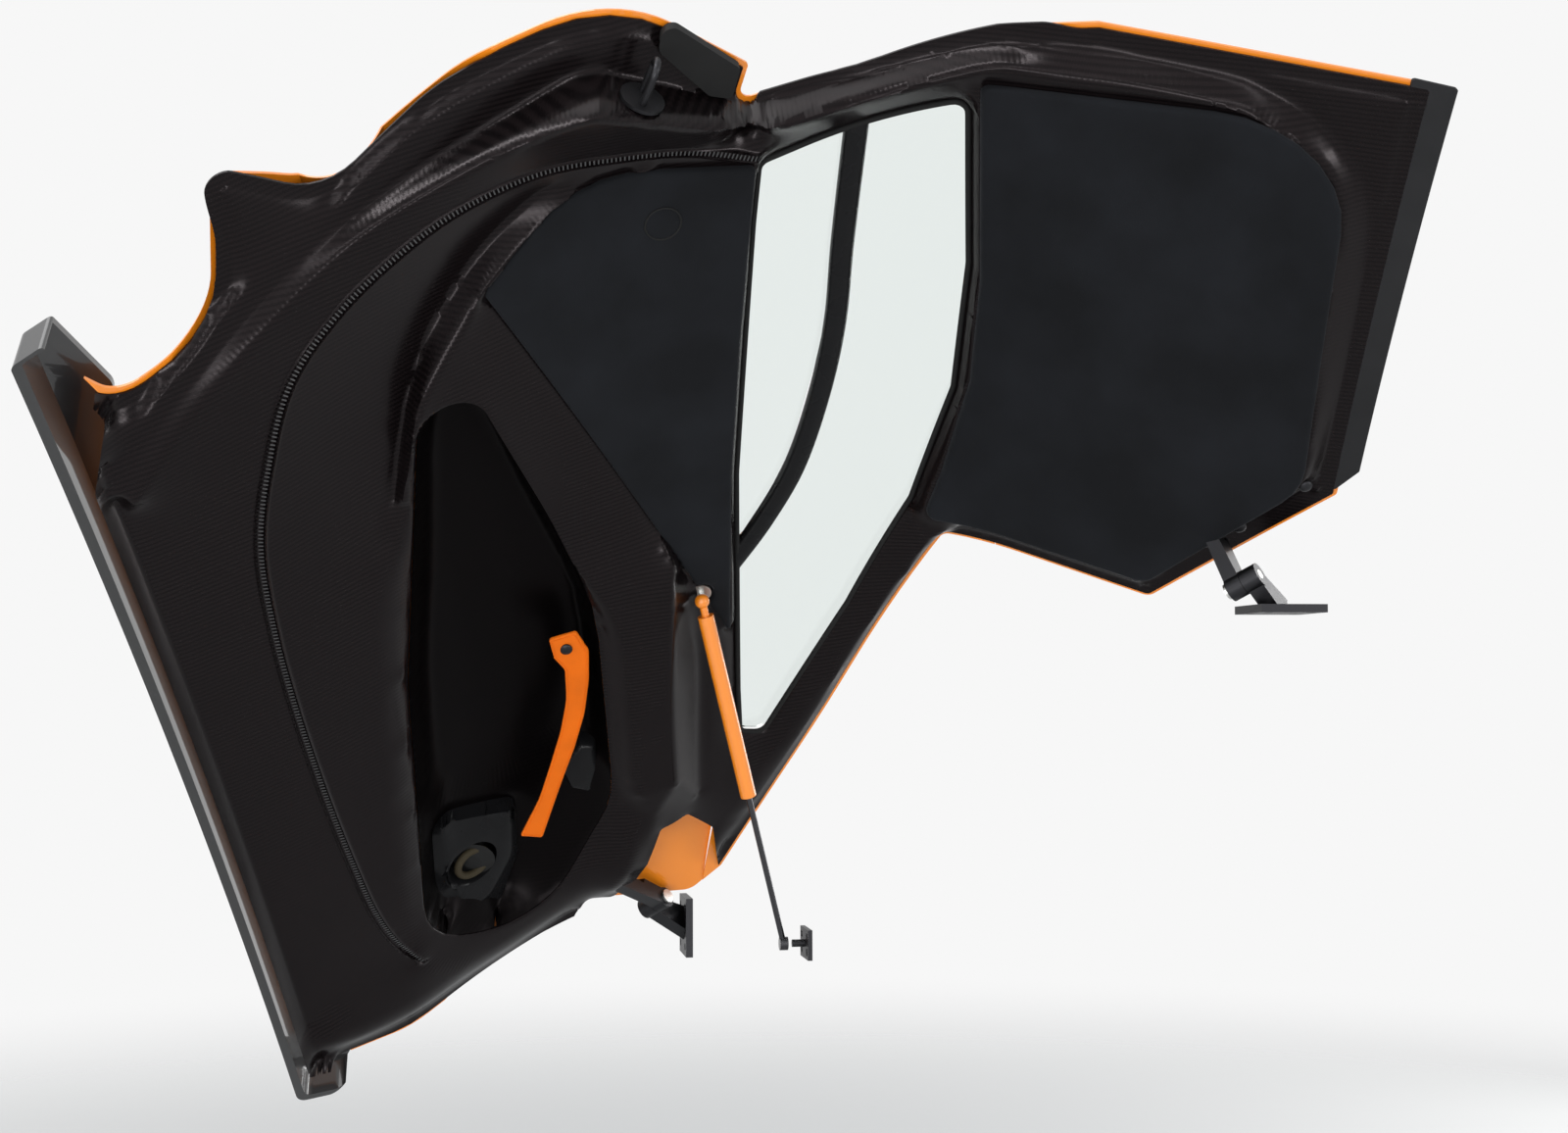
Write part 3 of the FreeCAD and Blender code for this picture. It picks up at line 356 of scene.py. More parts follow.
    def piece(self, name, material, back, ribs=None):
        """A closed piece: the sheet, a copy of it behind, and a wall round every rim."""
        count = len(self.place)
        back = np.full(count, back) if np.isscalar(back) else back
        front = on_door(self.place[:, 0], self.place[:, 1], self.rise)
        rear = on_door(self.place[:, 0], self.place[:, 1], back)
        points = to_car(np.vstack([front, rear]))
        a, b, c = (self.place[self.triangles[:, k]] for k in range(3))
        turn = (b[:, 0] - a[:, 0]) * (c[:, 1] - a[:, 1]) - (b[:, 1] - a[:, 1]) * (c[:, 0] - a[:, 0])
        faces = np.where((turn > 0)[:, None], self.triangles, self.triangles[:, ::-1])
        sides = np.vstack([faces[:, [k, (k + 1) % 3]] for k in range(3)]).tolist()
        rim = {tuple(pair) for pair in self.rim.tolist()}
        quads = [(b, a, a + count, b + count) for a, b in sides if (min(a, b), max(a, b)) in rim]
        mesh = bpy.data.meshes.new(name)
        mesh.from_pydata(points.tolist(), [], faces.tolist() + (faces[:, ::-1] + count).tolist() + quads)
        mesh.polygons.foreach_set("use_smooth", [True] * len(mesh.polygons))
        self.write_maps(mesh, ribs, count)
        mesh.materials.append(material)
        mesh.set_sharp_from_angle(angle=math.radians(50.0))
        print(name, len(mesh.polygons), "faces")
        return shown(name, mesh)

    def write_maps(self, mesh, ribs, count):
        """One map for the cloth weave, in metres, and one for ribs along a crease."""
        corner = np.zeros(len(mesh.loops), np.int32)
        mesh.loops.foreach_get("vertex_index", corner)
        flat = np.column_stack([self.place[:, 1], self.place[:, 0]]) * MM
        layers = {"weave": flat, "ribs": np.zeros_like(flat) if ribs is None else ribs}
        for title, values in layers.items():
            layer = mesh.uv_layers.new(name=title)
            layer.data.foreach_set("uv", values[corner % count].astype(np.float32).ravel())


# %% [markdown]
# Shader networks read best as arithmetic. This small class wraps a socket, so that an
# expression such as 1 - mask adds the Math node by itself. Any other node is made by one
# method, which takes the node's type, its settings and what its sockets are given.

# %% Shader arithmetic
def operator(operation, swapped=False):
    """A method that adds one Math node."""
    return lambda self, other=None: self.maths(operation, other, swapped)


class Value:
    """A shader socket that does arithmetic."""

    def __init__(self, finish, socket):
        self.finish, self.socket = finish, socket

    def maths(self, operation, other, swapped):
        first, second = (other, self) if swapped else (self, other)
        inputs = {0: first} if other is None else {0: first, 1: second}
        return self.finish.node("ShaderNodeMath", {"operation": operation}, inputs)

    __add__, __radd__ = operator("ADD"), operator("ADD", True)
    __sub__, __rsub__ = operator("SUBTRACT"), operator("SUBTRACT", True)
    __mul__, __rmul__ = operator("MULTIPLY"), operator("MULTIPLY", True)
    __mod__, __lt__ = operator("FLOORED_MODULO"), operator("LESS_THAN")
    floor, sine, abs = operator("FLOOR"), operator("SINE"), operator("ABSOLUTE")


class Finish:
    """A material on one Principled shader."""

    def __init__(self, name, colour, roughness, **plain):
        self.material = bpy.data.materials.new(name)
        self.material.use_nodes = True
        self.tree = self.material.node_tree
        self.tree.nodes.clear()
        self.shader = self.tree.nodes.new("ShaderNodeBsdfPrincipled")
        output = self.tree.nodes.new("ShaderNodeOutputMaterial")
        self.tree.links.new(self.shader.outputs[0], output.inputs[0])
        self.give("Base Color", colour)
        self.give("Roughness", roughness)
        for title, value in plain.items():
            self.give(title.replace("_", " "), value)

    def feed(self, socket, value):
        if isinstance(value, Value):
            self.tree.links.new(value.socket, socket)
        elif isinstance(value, (tuple, list)) and socket.type == "RGBA" and len(value) == 3:
            socket.default_value = (*value, 1.0)
        else:
            socket.default_value = value

    def give(self, title, value):
        self.feed(self.shader.inputs[title], value)
        return self

    def node(self, kind, settings=None, inputs=None, output=0):
        node = self.tree.nodes.new(kind)
        for title, value in (settings or {}).items():
            if title == "stops":
                while len(node.color_ramp.elements) < len(value):
                    node.color_ramp.elements.new(0.5)
                for element, (position, shade) in zip(node.color_ramp.elements, value):
                    element.position, element.color = position, (*shade, 1.0)
            else:
                setattr(node, title, value)
        for title, value in (inputs or {}).items():
            self.feed(node.inputs[title], value)
        return Value(self, node.outputs[output])

    def place(self):
        """The piece's own coordinates, in metres."""
        return self.node("ShaderNodeTexCoord", output="Object")

    def map(self, title):
        """The two numbers of one of the piece's maps."""
        corner = self.node("ShaderNodeUVMap", {"uv_map": title})
        split = self.node("ShaderNodeSeparateXYZ", inputs={0: corner})
        return split, Value(self, split.socket.node.outputs[1])

    def noise(self, size, detail=2.0):
        inputs = {"Vector": self.place(), "Scale": 1.0 / size, "Detail": detail}
        return self.node("ShaderNodeTexNoise", inputs=inputs)

    def mix(self, share, first, second):
        return self.node("ShaderNodeMix", {"data_type": "RGBA"}, {0: share, 6: first, 7: second}, 2)

    def bump(self, height, strength=0.3, distance=0.0005):
        inputs = {"Height": height, "Strength": strength, "Distance": distance}
        return self.give("Normal", self.node("ShaderNodeBump", inputs=inputs))


# %% [markdown]
# The tray is satin carbon fibre. Its cloth is a two-over-two twill of tows 2 mm wide, laid so
# that its diagonals cross the door. On the steep flanks the same cloth reads as bright ribs,
# so a second map carries ribs that run square to the nearest crease.

# %% Carbon
TOW = 0.002
RIB_PITCH = 0.0056
CLOTH_SHADES = ((0.0024, 0.0018, 0.002), (0.007, 0.005, 0.0053))


def carbon_cloth(name, gloss, roughness, depth=1.0):
    # A depth below 1 darkens both cloth shades; the pocket's copy uses it as painted shade.
    dark, light = (tuple(depth * value for value in shade) for shade in CLOTH_SHADES)
    finish = Finish(name, dark, roughness, Specular_IOR_Level=gloss, Specular_Tint=(1.0, 0.9, 0.93))
    along, across = finish.map("weave")
    warp = (along + across) * (math.sqrt(0.5) / TOW)
    weft = (along - across) * (math.sqrt(0.5) / TOW)
    over = (warp.floor() + weft.floor()) % 4.0 < 2.0
    warp_round = ((warp % 1.0) - 0.5).abs()
    weft_round = ((weft % 1.0) - 0.5).abs()
    crown = over * weft_round + (1.0 - over) * warp_round
    phase, amount = finish.map("ribs")
    rib = (phase * (2.0 * math.pi / RIB_PITCH)).sine() * 0.5 + 0.5
    patch = finish.noise(0.09)
    finish.give("Base Color", finish.mix(over * 0.7 + patch * 0.3, dark, light))
    finish.give("Roughness", roughness + over * 0.03 + patch * 0.04)
    finish.bump(rib * amount * 0.6 - crown * 0.2)
    return finish.material


CARBON = carbon_cloth("satin_carbon", 0.15, 0.19)
# The pocket's copy has its cloth shades at a quarter and less gloss: painted shade for the inside of the deep
# bowl.
POCKET_CARBON_SHADED = carbon_cloth("pocket_carbon_painted_shade", 0.06, 0.28, 0.25)

# %% [markdown]
# The pads are wrapped in black suede: no gloss at all, a soft sheen where the nap catches the
# light, and faint clouds where hands have brushed it.

# %% Suede
SUEDE_SHADES = ((0.0038, 0.0043, 0.0055), (0.0078, 0.0088, 0.0112))


def suede():
    finish = Finish("black_suede", SUEDE_SHADES[0], 0.95, Specular_IOR_Level=0.2, Sheen_Weight=0.06,
                    Sheen_Roughness=0.4, Sheen_Tint=(0.7, 0.72, 0.8))
    stops = [(0.35, (0.0, 0.0, 0.0)), (0.7, (1.0, 1.0, 1.0))]
    cloud = finish.node("ShaderNodeValToRGB", {"stops": stops}, {0: finish.noise(0.11, 3.0)})
    finish.give("Base Color", finish.mix(cloud, *SUEDE_SHADES))
    finish.bump(finish.noise(0.0012), 0.35, 0.0004)
    return finish.material


SUEDE = suede()

# %% [markdown]
# Outside, the door wears solid orange paint under clear lacquer. The lacquer has the slight
# ripple that every sprayed panel shows. The sill is gloss black, the speaker's pod and the
# window bar are satin black, and the strap has the fine grain of leather.

# %% Paint, plastics and metals
def painted(name, colour):
    finish = Finish(name, colour, 0.38, Coat_Weight=1.0, Coat_Roughness=0.04)
    finish.bump(finish.noise(0.004, 1.0), 0.03, 0.0004)
    return finish.material


def grained(name, colour, roughness, grain=0.0009, strength=0.25):
    finish = Finish(name, colour, roughness, Specular_IOR_Level=0.12)
    wear = finish.noise(0.05, 3.0)
    finish.give("Base Color", finish.mix(wear, colour, tuple(1.5 * value for value in colour)))
    finish.give("Roughness", roughness - 0.08 + wear * 0.16)
    finish.bump(finish.noise(grain), strength, 0.0003)
    return finish.material


def metal(name, colour, roughness):
    finish = Finish(name, colour, roughness, Metallic=1.0)
    finish.give("Roughness", roughness - 0.05 + finish.noise(0.0015, 3.0) * 0.14)
    finish.bump(finish.noise(0.006), 0.06, 0.0003)
    return finish.material


def clear_glass():
    finish = Finish("window_glass", (0.86, 0.91, 0.89), 0.0, Transmission_Weight=1.0, IOR=1.45)
    finish.give("Roughness", finish.noise(0.12, 3.0) * 0.03)
    return finish.material


ORANGE = painted("orange_paint", (0.89, 0.25, 0.008))
GLOSS_BLACK = painted("gloss_black", (0.008, 0.008, 0.009))
GRAINED_BLACK = grained("grained_black", (0.016, 0.016, 0.017), 0.52)
SATIN_BLACK = grained("satin_black", (0.006, 0.006, 0.0065), 0.28, 0.0012, 0.05)
RUBBER = grained("black_rubber", (0.011, 0.011, 0.011), 0.7)
STRAP_ORANGE = grained("strap_orange", (0.6, 0.115, 0.004), 0.55, 0.0006, 0.4)
CONE_RING = grained("cone_ring", (0.03, 0.024, 0.014), 0.6)
BLACK_STEEL = metal("black_steel", (0.035, 0.035, 0.038), 0.42)
ZINC = metal("zinc_steel", (0.62, 0.62, 0.6), 0.32)
DARK_CHROME = metal("dark_chrome", (0.07, 0.07, 0.075), 0.2)
GLASS = clear_glass()

NODE_FINISH = {
    ORANGE: ("outer_skin", "pillar_skin", "roof_skin", "strut_cylinder"),
    GRAINED_BLACK: ("gutter_flange",),
    GLOSS_BLACK: ("sill_blade",),
    GLASS: ("window_upper_glass", "window_lower_glass"),
    RUBBER: ("speaker_cone", "rear_end_pad"),
    BLACK_STEEL: ("striker_plate", "striker_loop", "lower_hinge_arm", "upper_hinge_arm",
                  "lower_hinge_bracket", "upper_hinge_bracket", "strut_lower_bracket"),
    ZINC: ("strut_upper_stud", "lower_hinge_pin", "upper_hinge_pin"),
    DARK_CHROME: ("strut_rod",),
}
for material, names in NODE_FINISH.items():
    for name in names:
        mesh = frame["nodes"][name].data
        mesh.materials.clear()
        mesh.materials.append(material)

# %% [markdown]
# The outlines of the tray repeat the CAD's own corners, so that the dressed tray and the
# solid behind it end at the same edges.

# %% The tray's outlines
LIP = 5.5
TAIL_REACH = 10.0
HEADER_REACH = 9.0
DOOR_EDGE = [
    (462, -1218, 6), (412, -1128, 30), (322, -1146, 100), (281, -1316, 12),
    (193, -1238, 60), (30, -1338, 200), (-120, -1372, 150), (-252, -1256, 6),
    (-236, -1215, 10), (-370, -1224, 250), (-518, -1269, 20), (-615, -1286, 8),
    (-920, -1256, 4), (-896, -700, 10), (-704, -482, 14), (-455, -534, 12),
    (-290, -270, 2000), (-108, -26, 16), (-60, 2, 30), (108, -34, 300),
    (335, -20, 100), (424, -58, 20), (462, -62, 4),
]
WINDOW = [
    (-253, -1137, 14), (-489, -1184, 16), (-491, -675, 890),
    (-190, -256, 16), (-157, -270, 12), (-181, -706, 6500),
]
POCKET = [
    (154, -950, 40), (234, -584, 900), (286, -170, 105), (148, -78, 90),
    (22, -252, 150), (2, -588, 400), (90, -960, 40),
]
DOOR_PAD = [
    (-250, -1146, 10), (-60, -1190, 150), (62, -1076, 12), (-96, -640, 90),
    (-162, -462, 4), (-182, -720, 5000),
]
ROOF_PAD = [
    (-496, -1212, 10), (-498, -800, 900), (-425, -583, 16), (-690, -530, 24),
    (-850, -722, 90), (-850, -1212, 130),
]
BLADE = [
    (476, -1216, 6), (476, -40, 24), (424, -2, 18), (404, -50, 10),
    (452, -80, 6), (450, -1045, 30), (420, -1120, 30), (448, -1222, 4),
]
FRONT_NOTCH = [
    (122, -10, 4), (86, -68, 14), (48, -56, 14), (12, -88, 14),
    (-8, -118, 10), (-34, -178, 8), (-72, -176, 8), (-104, -122, 10),
    (-104, 60, 4), (160, 60, 4),
]

# %% [markdown]
# The creases of the tray and of its pocket. Each row is (w, u, rise). The flange step runs up
# the rear edge, the shoulder behind it carries the latch face, which stands almost square to
# the door, and the bowl ridge wraps the pocket and the pad. Many of these points, and of the
# strap's and the roof bolts', were read off the photograph by eye and then converted to the
# door's plane by a separate program.

# %% The tray's creases
CREASES = {
    "flange_step": [(440, -1048, 16), (393, -1097, 18), (351, -1131, 18), (312, -1161, 18),
        (274, -1185, 18), (228, -1206, 18), (183, -1228, 18), (141, -1256, 17), (103, -1276, 16),
        (56, -1295, 15), (9, -1309, 14), (-43, -1322, 13), (-84, -1328, 12), (-124, -1326, 12),
        (-160, -1308, 12)],
    "shoulder_foot": [(436, -1030, 20), (388, -1082, 20), (340, -1118, 20), (293, -1150, 20),
        (213, -1196, 20), (104, -1237, 18), (30, -1262, 16), (-14, -1277, 15), (-45, -1288, 14),
        (-70, -1295, 14), (-94, -1295, 14), (-118, -1282, 14), (-140, -1269, 13), (-164, -1257, 12),
        (-211, -1233, 10), (-252, -1213, 8), (-300, -1213, 8), (-380, -1218, 8), (-505, -1248, 8),
        (-540, -1251, 7)],
    "shoulder": [(424, -1012, 26), (374, -1066, 29), (324, -1103, 32), (270, -1140, 35),
        (194, -1185, 38), (148, -1208, 42), (68, -1236, 51), (14, -1256, 62), (-20, -1269, 74),
        (-42, -1277, 82), (-64, -1283, 87), (-90, -1286, 90), (-120, -1272, 87), (-150, -1256, 80),
        (-207, -1225, 68), (-252, -1206, 62), (-300, -1202, 56), (-357, -1206, 50), (-437, -1219, 42),
        (-505, -1236, 35), (-540, -1236, 31), (-585, -1232, 31), (-633, -1232, 32), (-679, -1228, 32),
        (-725, -1220, 32), (-760, -1208, 32), (-792, -1184, 32), (-820, -1150, 32), (-838, -1112, 32),
        (-847, -1066, 32), (-850, -1002, 32), (-849, -927, 32), (-847, -857, 32), (-843, -780, 31),
        (-826, -712, 29), (-700, -552, 26)],
    "roof_foot": [(-540, -1251, 7), (-600, -1258, 6), (-661, -1252, 5), (-707, -1247, 5),
        (-756, -1240, 5), (-796, -1222, 5), (-828, -1192, 5), (-856, -1160, 5), (-876, -1121, 5),
        (-884, -1082, 5), (-886, -1005, 5), (-884, -918, 5), (-880, -818, 5), (-874, -740, 5),
        (-862, -712, 5), (-700, -522, 5)],
    "seal": [(-253, -1154, 34), (-179, -1186, 37), (-101, -1201, 39), (-23, -1207, 41), (65, -1191, 41),
        (134, -1162, 39), (203, -1121, 37), (262, -1065, 35), (302, -981, 33), (332, -885, 31),
        (344, -770, 31), (348, -640, 30), (346, -500, 30), (340, -376, 30), (332, -277, 29),
        (318, -205, 27), (296, -150, 25)],
    "bowl": [(-150, -1183, 33), (-108, -1164, 34), (-59, -1159, 35), (-32, -1154, 36), (12, -1124, 37),
        (54, -1087, 38), (67, -1071, 39), (83, -1051, 40), (107, -1024, 42), (127, -1000, 44),
        (142, -980, 45), (154, -956, 46), (172, -898, 47), (192, -835, 47), (228, -637, 46),
        (259, -438, 44), (282, -310, 42), (298, -220, 38), (290, -140, 34), (240, -86, 30)],
    "bowl_foot": [(-44, -1184, 32), (-9, -1170, 22), (50, -1124, 12), (89, -1083, 9), (115, -1052, 9),
        (138, -1017, 11), (155, -982, 14), (167, -953, 18), (188, -888, 25), (214, -798, 32)],
    "arm_ridge": [(-88, -657, 38), (-97, -640, 50), (-99, -620, 60), (-97, -592, 68), (-93, -565, 71),
        (-84, -491, 72), (-73, -397, 71), (-64, -272, 70)],
    "arm_foot": [(-108, -600, 29), (-120, -545, 28), (-117, -439, 28), (-106, -333, 28), (-92, -205, 30)],
    "arm_brow": [(52, -760, 38), (22, -668, 46), (-6, -598, 54), (-22, -520, 60), (-20, -440, 62),
        (-14, -373, 63), (-8, -290, 62), (-14, -262, 63)],
    "fairing": [(14, -206, 56), (6, -162, 60), (28, -116, 54), (48, -84, 40)],
    "arm_tip": [(-32, -222, 60), (-20, -178, 54), (-8, -140, 48)],
    "front_crest": [(96, -92, 24), (150, -66, 22), (230, -58, 22), (330, -64, 22), (400, -86, 22),
        (434, -118, 22)],
    "pillar_crest": [(-700, -536, 16), (-640, -545, 20), (-520, -562, 22), (-476, -566, 22),
        (-452, -552, 22), (-380, -450, 20), (-300, -330, 20), (-220, -220, 20), (-150, -130, 18),
        (-124, -96, 16)],
    "belt_strip": [(-128, -546, 26), (-150, -420, 26), (-146, -300, 24), (-128, -200, 22)],
    "flank": [(245, -352, -14), (190, -334, -13), (138, -330, -12), (104, -344, -12), (66, -360, -8)],
    "arm_end": [(-64, -272, 70), (-88, -206, 38)],
    "arm_chin": [(-64, -272, 70), (-14, -262, 63), (-32, -222, 60), (-64, -272, 70)],
}


def rim_rise(outline):
    """The rise of the pocket's mouth: higher under the armrest, lower at the front."""
    w, u = outline[:, 0], outline[:, 1]
    arm = smooth(w, 60.0, 20.0) * smooth(u, -760.0, -640.0) * smooth(u, -120.0, -200.0)
    rear = smooth(u, -700.0, -930.0)
    return 32.0 + 8.0 * arm + 10.0 * rear - 6.0 * smooth(u, -200.0, -90.0)


# %% [markdown]
# All lines get points a few millimetres apart. The tray's rim keeps inside the door's edge,
# and a crease lets go of its own rise where it runs out into that rim.

# %% The lines that the tray is moulded on
STEP, FILL = ((3.5, 5.0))
RIM_CLEAR = 4.0
STRAIGHT = ("arm_end", "arm_chin")
creases = {title: resample(np.array(points, float), STEP) if title in STRAIGHT else spline(points, STEP)
           for title, points in CREASES.items()}
edge, window, pocket, notch, blade, door_pad_line, roof_pad_line = (
    rounded(corners, STEP) for corners in (DOOR_EDGE, WINDOW, POCKET, FRONT_NOTCH, BLADE, DOOR_PAD, ROOF_PAD))


def rim_inset(line):
    """How far the tray's rim lies inside the door's edge, less where the skin domes out."""
    w, u = line[:, 0], line[:, 1]
    tail = smooth(u, -1222.0, -1240.0) * smooth(w, 300.0, 284.0) * smooth(w, 10.0, 90.0)
    header = smooth(w, -252.0, -262.0) * smooth(w, -600.0, -560.0) * smooth(u, -1190.0, -1205.0)
    return (LIP - TAIL_REACH * tail - HEADER_REACH * header)[:, None]


edge_in = inset(edge, rim_inset(edge))
print(len(creases), "creases,", len(edge_in), "points round the tray")


def ringed(outline):
    """A closed outline as an open line that ends where it starts."""
    return np.vstack([outline, outline[:1]])


def in_tray(points):
    kept = inside(edge_in, points) & ~inside(window, points) & ~inside(pocket, points)
    return kept & ~inside(notch, points) & ~inside(blade, points)


def loosened(line, rise, distance):
    """A rise along a line, left free where a crease comes near."""
    rises = np.full(len(line), float(rise))
    for crease in creases.values():
        rises[distance_along(crease, line[:, :2])[0] < distance] = math.nan
    return rises


def kept_off_rim(crease):
    """A crease whose rise is left free where it comes close to the tray's rim."""
    loose = crease.copy()
    loose[distance_along(ringed(edge_in), crease[:, :2])[0] < RIM_CLEAR, 2] = math.nan
    return loose


# %% [markdown]
# The rim carries a flat flange and a step. Two pads lie in shallow seats, the ridges get close
# rows of points on both sides so that they stay crisp, and a bead is pressed along the seal.

# %% Mould the tray
# A line's rise is let go where a crease comes nearer than this.
EDGE_CLEAR, LIP_CLEAR, SEAT_CLEAR = 11.0, 10.0, 9.0
EDGE_RISE = 3.5
EDGE_STEPS = ((4.0, 3.8), (12.0, 4.0), (15.0, 4.6), (17.5, 7.8))
POCKET_LIP = ((-2.0, 1.6), (-4.5, 0.6))
DOOR_PAD_SEAT, ROOF_PAD_SEAT = 27.0, 26.0
UNDER_PAD = 29.0
BLADE_RISE = 22.0
NOTCH_LIFT, NOTCH_CREST = 8.5, 36.0
RIDGES = ("shoulder", "bowl", "arm_brow", "arm_ridge")
RIDGE_ROWS = (4.0, 8.5, 13.5, 19.0)
SEAL_ROWS = (-9.0, -7.2, -6.0, -5.0, -4.0, -3.0, 3.0, 4.0, 5.0, 6.0, 7.2, 9.0)
BEAD_PLACE, BEAD_WIDTH, BEAD_HEIGHT, SEAL_DEPTH = 5.0, 1.2, 2.4, 1.2
# Each row is a crease, its first softened point, the radius and the passes.
SOFTENED = (
    ("arm_brow", 0, 24.0, 12), ("fairing", 0, 24.0, 14), ("bowl", 160, 30.0, 40),
    ("front_crest", 0, 30.0, 30), ("pillar_crest", 0, 22.0, 20), ("belt_strip", 0, 30.0, 30),
)


def mould_tray():
    tray = Panel()
    tray.line(edge_in, EDGE_RISE, True)
    for distance, rise in EDGE_STEPS:
        line = inset(edge_in, distance)
        tray.line(line, loosened(line, rise, EDGE_CLEAR), True)
    for distance, rise in ((0.0, 7.0), (-2.5, 11.0), (-7.0, None)):
        tray.line(inset(window, distance), rise, True)
    tray.line(pocket, rim_rise(pocket), True)
    for distance, lift in POCKET_LIP:
        rim = inset(pocket, distance)
        free = np.isnan(loosened(rim, 0.0, LIP_CLEAR))
        tray.line(rim, np.where(free, math.nan, rim_rise(pocket) + lift), True)
    tray.line(door_pad_line, loosened(door_pad_line, DOOR_PAD_SEAT, SEAT_CLEAR), True)
    tray.line(roof_pad_line, ROOF_PAD_SEAT, True)
    rim = inset(door_pad_line, -3.0)
    tray.line(rim, loosened(rim, DOOR_PAD_SEAT + 3.0, SEAT_CLEAR), True)
    tray.line(inset(roof_pad_line, -3.0), ROOF_PAD_SEAT + 1.0, True)
    tray.line(blade, BLADE_RISE, True)
    from_edge = distance_along(ringed(edge_in), notch)[0]
    lift = NOTCH_LIFT + NOTCH_CREST * np.exp(-((notch[:, 0] + 30.0) / 60.0) ** 2)
    tray.line(notch, EDGE_RISE + lift * smooth(from_edge, 2.0, 26.0), True)
    for title, line in creases.items():
        if title == "flank":
            continue
        tray.line(kept_off_rim(line))
        for distance in RIDGE_ROWS if title in RIDGES else (5.0,):
            tray.line(beside(line[:, :2], distance))
            tray.line(beside(line[:, :2], -distance))
    for distance in SEAL_ROWS:
        tray.line(beside(creases["seal"][:, :2], distance))
    tray.fill(edge_in, FILL)
    tray.cut(in_tray)
    tray.relax()
    tray.ease(0.5, 4)
    for title, first, radius, passes in SOFTENED:
        tray.soften(creases[title][first:], radius, passes)
    for line in (door_pad_line, roof_pad_line):
        covered = inside(inset(line, 1.5), tray.place)
        tray.rise[covered] = np.minimum(tray.rise[covered], UNDER_PAD)
    gap, _ = distance_along(creases["seal"], tray.place)
    tray.rise += BEAD_HEIGHT * np.exp(-((gap - BEAD_PLACE) / BEAD_WIDTH) ** 2)
    tray.rise -= SEAL_DEPTH * smooth(gap, 4.4, 3.4)
    return tray


RIB_REACH = {"flange_step": 5.0, "shoulder": 15.0, "seal": 3.0, "bowl": 17.0, "fairing": 14.0, "flank": 30.0}


def rib_map(panel):
    """Ribs square to the nearest ribbed crease, fading out at that crease's reach."""
    best = np.full(len(panel.place), 9.0)
    phase = np.zeros(len(panel.place))
    for title, reach in RIB_REACH.items():
        gap, along = distance_along(creases[title], panel.place)
        nearer = gap / reach < best
        best[nearer], phase[nearer] = gap[nearer] / reach, along[nearer]
    return np.column_stack([phase * MM, smooth(best, 1.0, 0.45)])


SHEET = 2.5
tray = mould_tray()
tray_back = np.maximum(tray.rise - SHEET, 0.8) - 0.3
tray_piece = tray.piece("carbon_tray", CARBON, tray_back, rib_map(tray))
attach(tray_piece, "door")
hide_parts("inner_moulding")

# %% [markdown]
# The pads are stiff boards under a thin layer of foam and suede. The edge rolls over in a
# small radius and the face swells a few millimetres, so light fades across it.

# %% The suede pads
PAD_BOARD, PAD_THICKNESS, PAD_ROLL, SWELL_REACH = 26.0, 9.0, 5.0, 45.0
PAD_ROWS = (0.6, 1.4, 2.6, 4.5, 8.0, 14.0)
STUD_PLACE, STUD_CLEARANCE = (-130.0, -547.0), 15.0


def ring(centre, radius, count):
    """A circle of (w, u) points."""
    turn = np.arange(count) * (2.0 * math.pi / count)
    return np.column_stack([centre[0] + radius * np.cos(turn), centre[1] + radius * np.sin(turn)])


def mould_pad(line, swell, hole=None):
    panel = Panel()
    for distance in PAD_ROWS:
        panel.line(inset(line, distance), None, True)
    panel.fill(inset(line, PAD_ROWS[-1]), 16.0)
    outline = inset(line, PAD_ROWS[0])
    if hole is not None:
        panel.line(hole, None, True)
        panel.line(inset(hole, -3.0), None, True)
    panel.cut(lambda points: inside(outline, points) & (True if hole is None else ~inside(hole, points)))
    gap, _ = distance_along(ringed(outline), panel.place)
    if hole is not None:
        gap = np.minimum(gap, distance_along(ringed(hole), panel.place)[0])
    roll = np.sqrt(1.0 - (1.0 - np.clip(gap / PAD_ROLL, 0.0, 1.0)) ** 2)
    flat = PAD_BOARD + (PAD_THICKNESS - PAD_ROLL)
    panel.rise = flat + PAD_ROLL * roll + swell * (1.0 - np.exp(-gap / SWELL_REACH))
    return panel


def pad_piece(name, panel):
    piece = panel.piece(name, SUEDE, PAD_BOARD - 1.0)
    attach(piece, "door")
    return piece


stud_hole = ring(STUD_PLACE, STUD_CLEARANCE, 32)
door_pad = pad_piece("suede_door_pad", mould_pad(door_pad_line, swell=3.0, hole=stud_hole))
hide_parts("door_pad")
roof_pad = pad_piece("suede_roof_pad", mould_pad(roof_pad_line, swell=4.0))
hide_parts("roof_pad")

# %% [markdown]
# The map pocket is a deep bowl. Its mouth is nearly straight-sided at the rear, and at the
# front the floor sweeps up in a broad ribbed flank that carries the lower end of the strap.

# %% The map pocket
POCKET_FLOOR = -16.0
POD_RISE = -15.0
POD_FOOT = [
    (259, -328, 24), (149, -282, 18), (158, -186, 40), (200, -106, 30), (254, -104, 30),
    (276, -190, 60),
]
POD_FACE = [
    (240, -322, 10), (157, -280, 10), (170, -200, 34), (206, -152, 22), (236, -152, 22),
    (247, -230, 60),
]
SPEAKER_CENTRE = (217.0, -225.0)
# The deepest part follows this line, and the floor is drawn down to it by this share.
FLOOR_MIDDLE = np.array([[120.0, -880.0], [130.0, -600.0], [140.0, -400.0]])
FLOOR_DRAW = 0.7
BELLY_INSET, BELLY_END = 16.0, -340.0


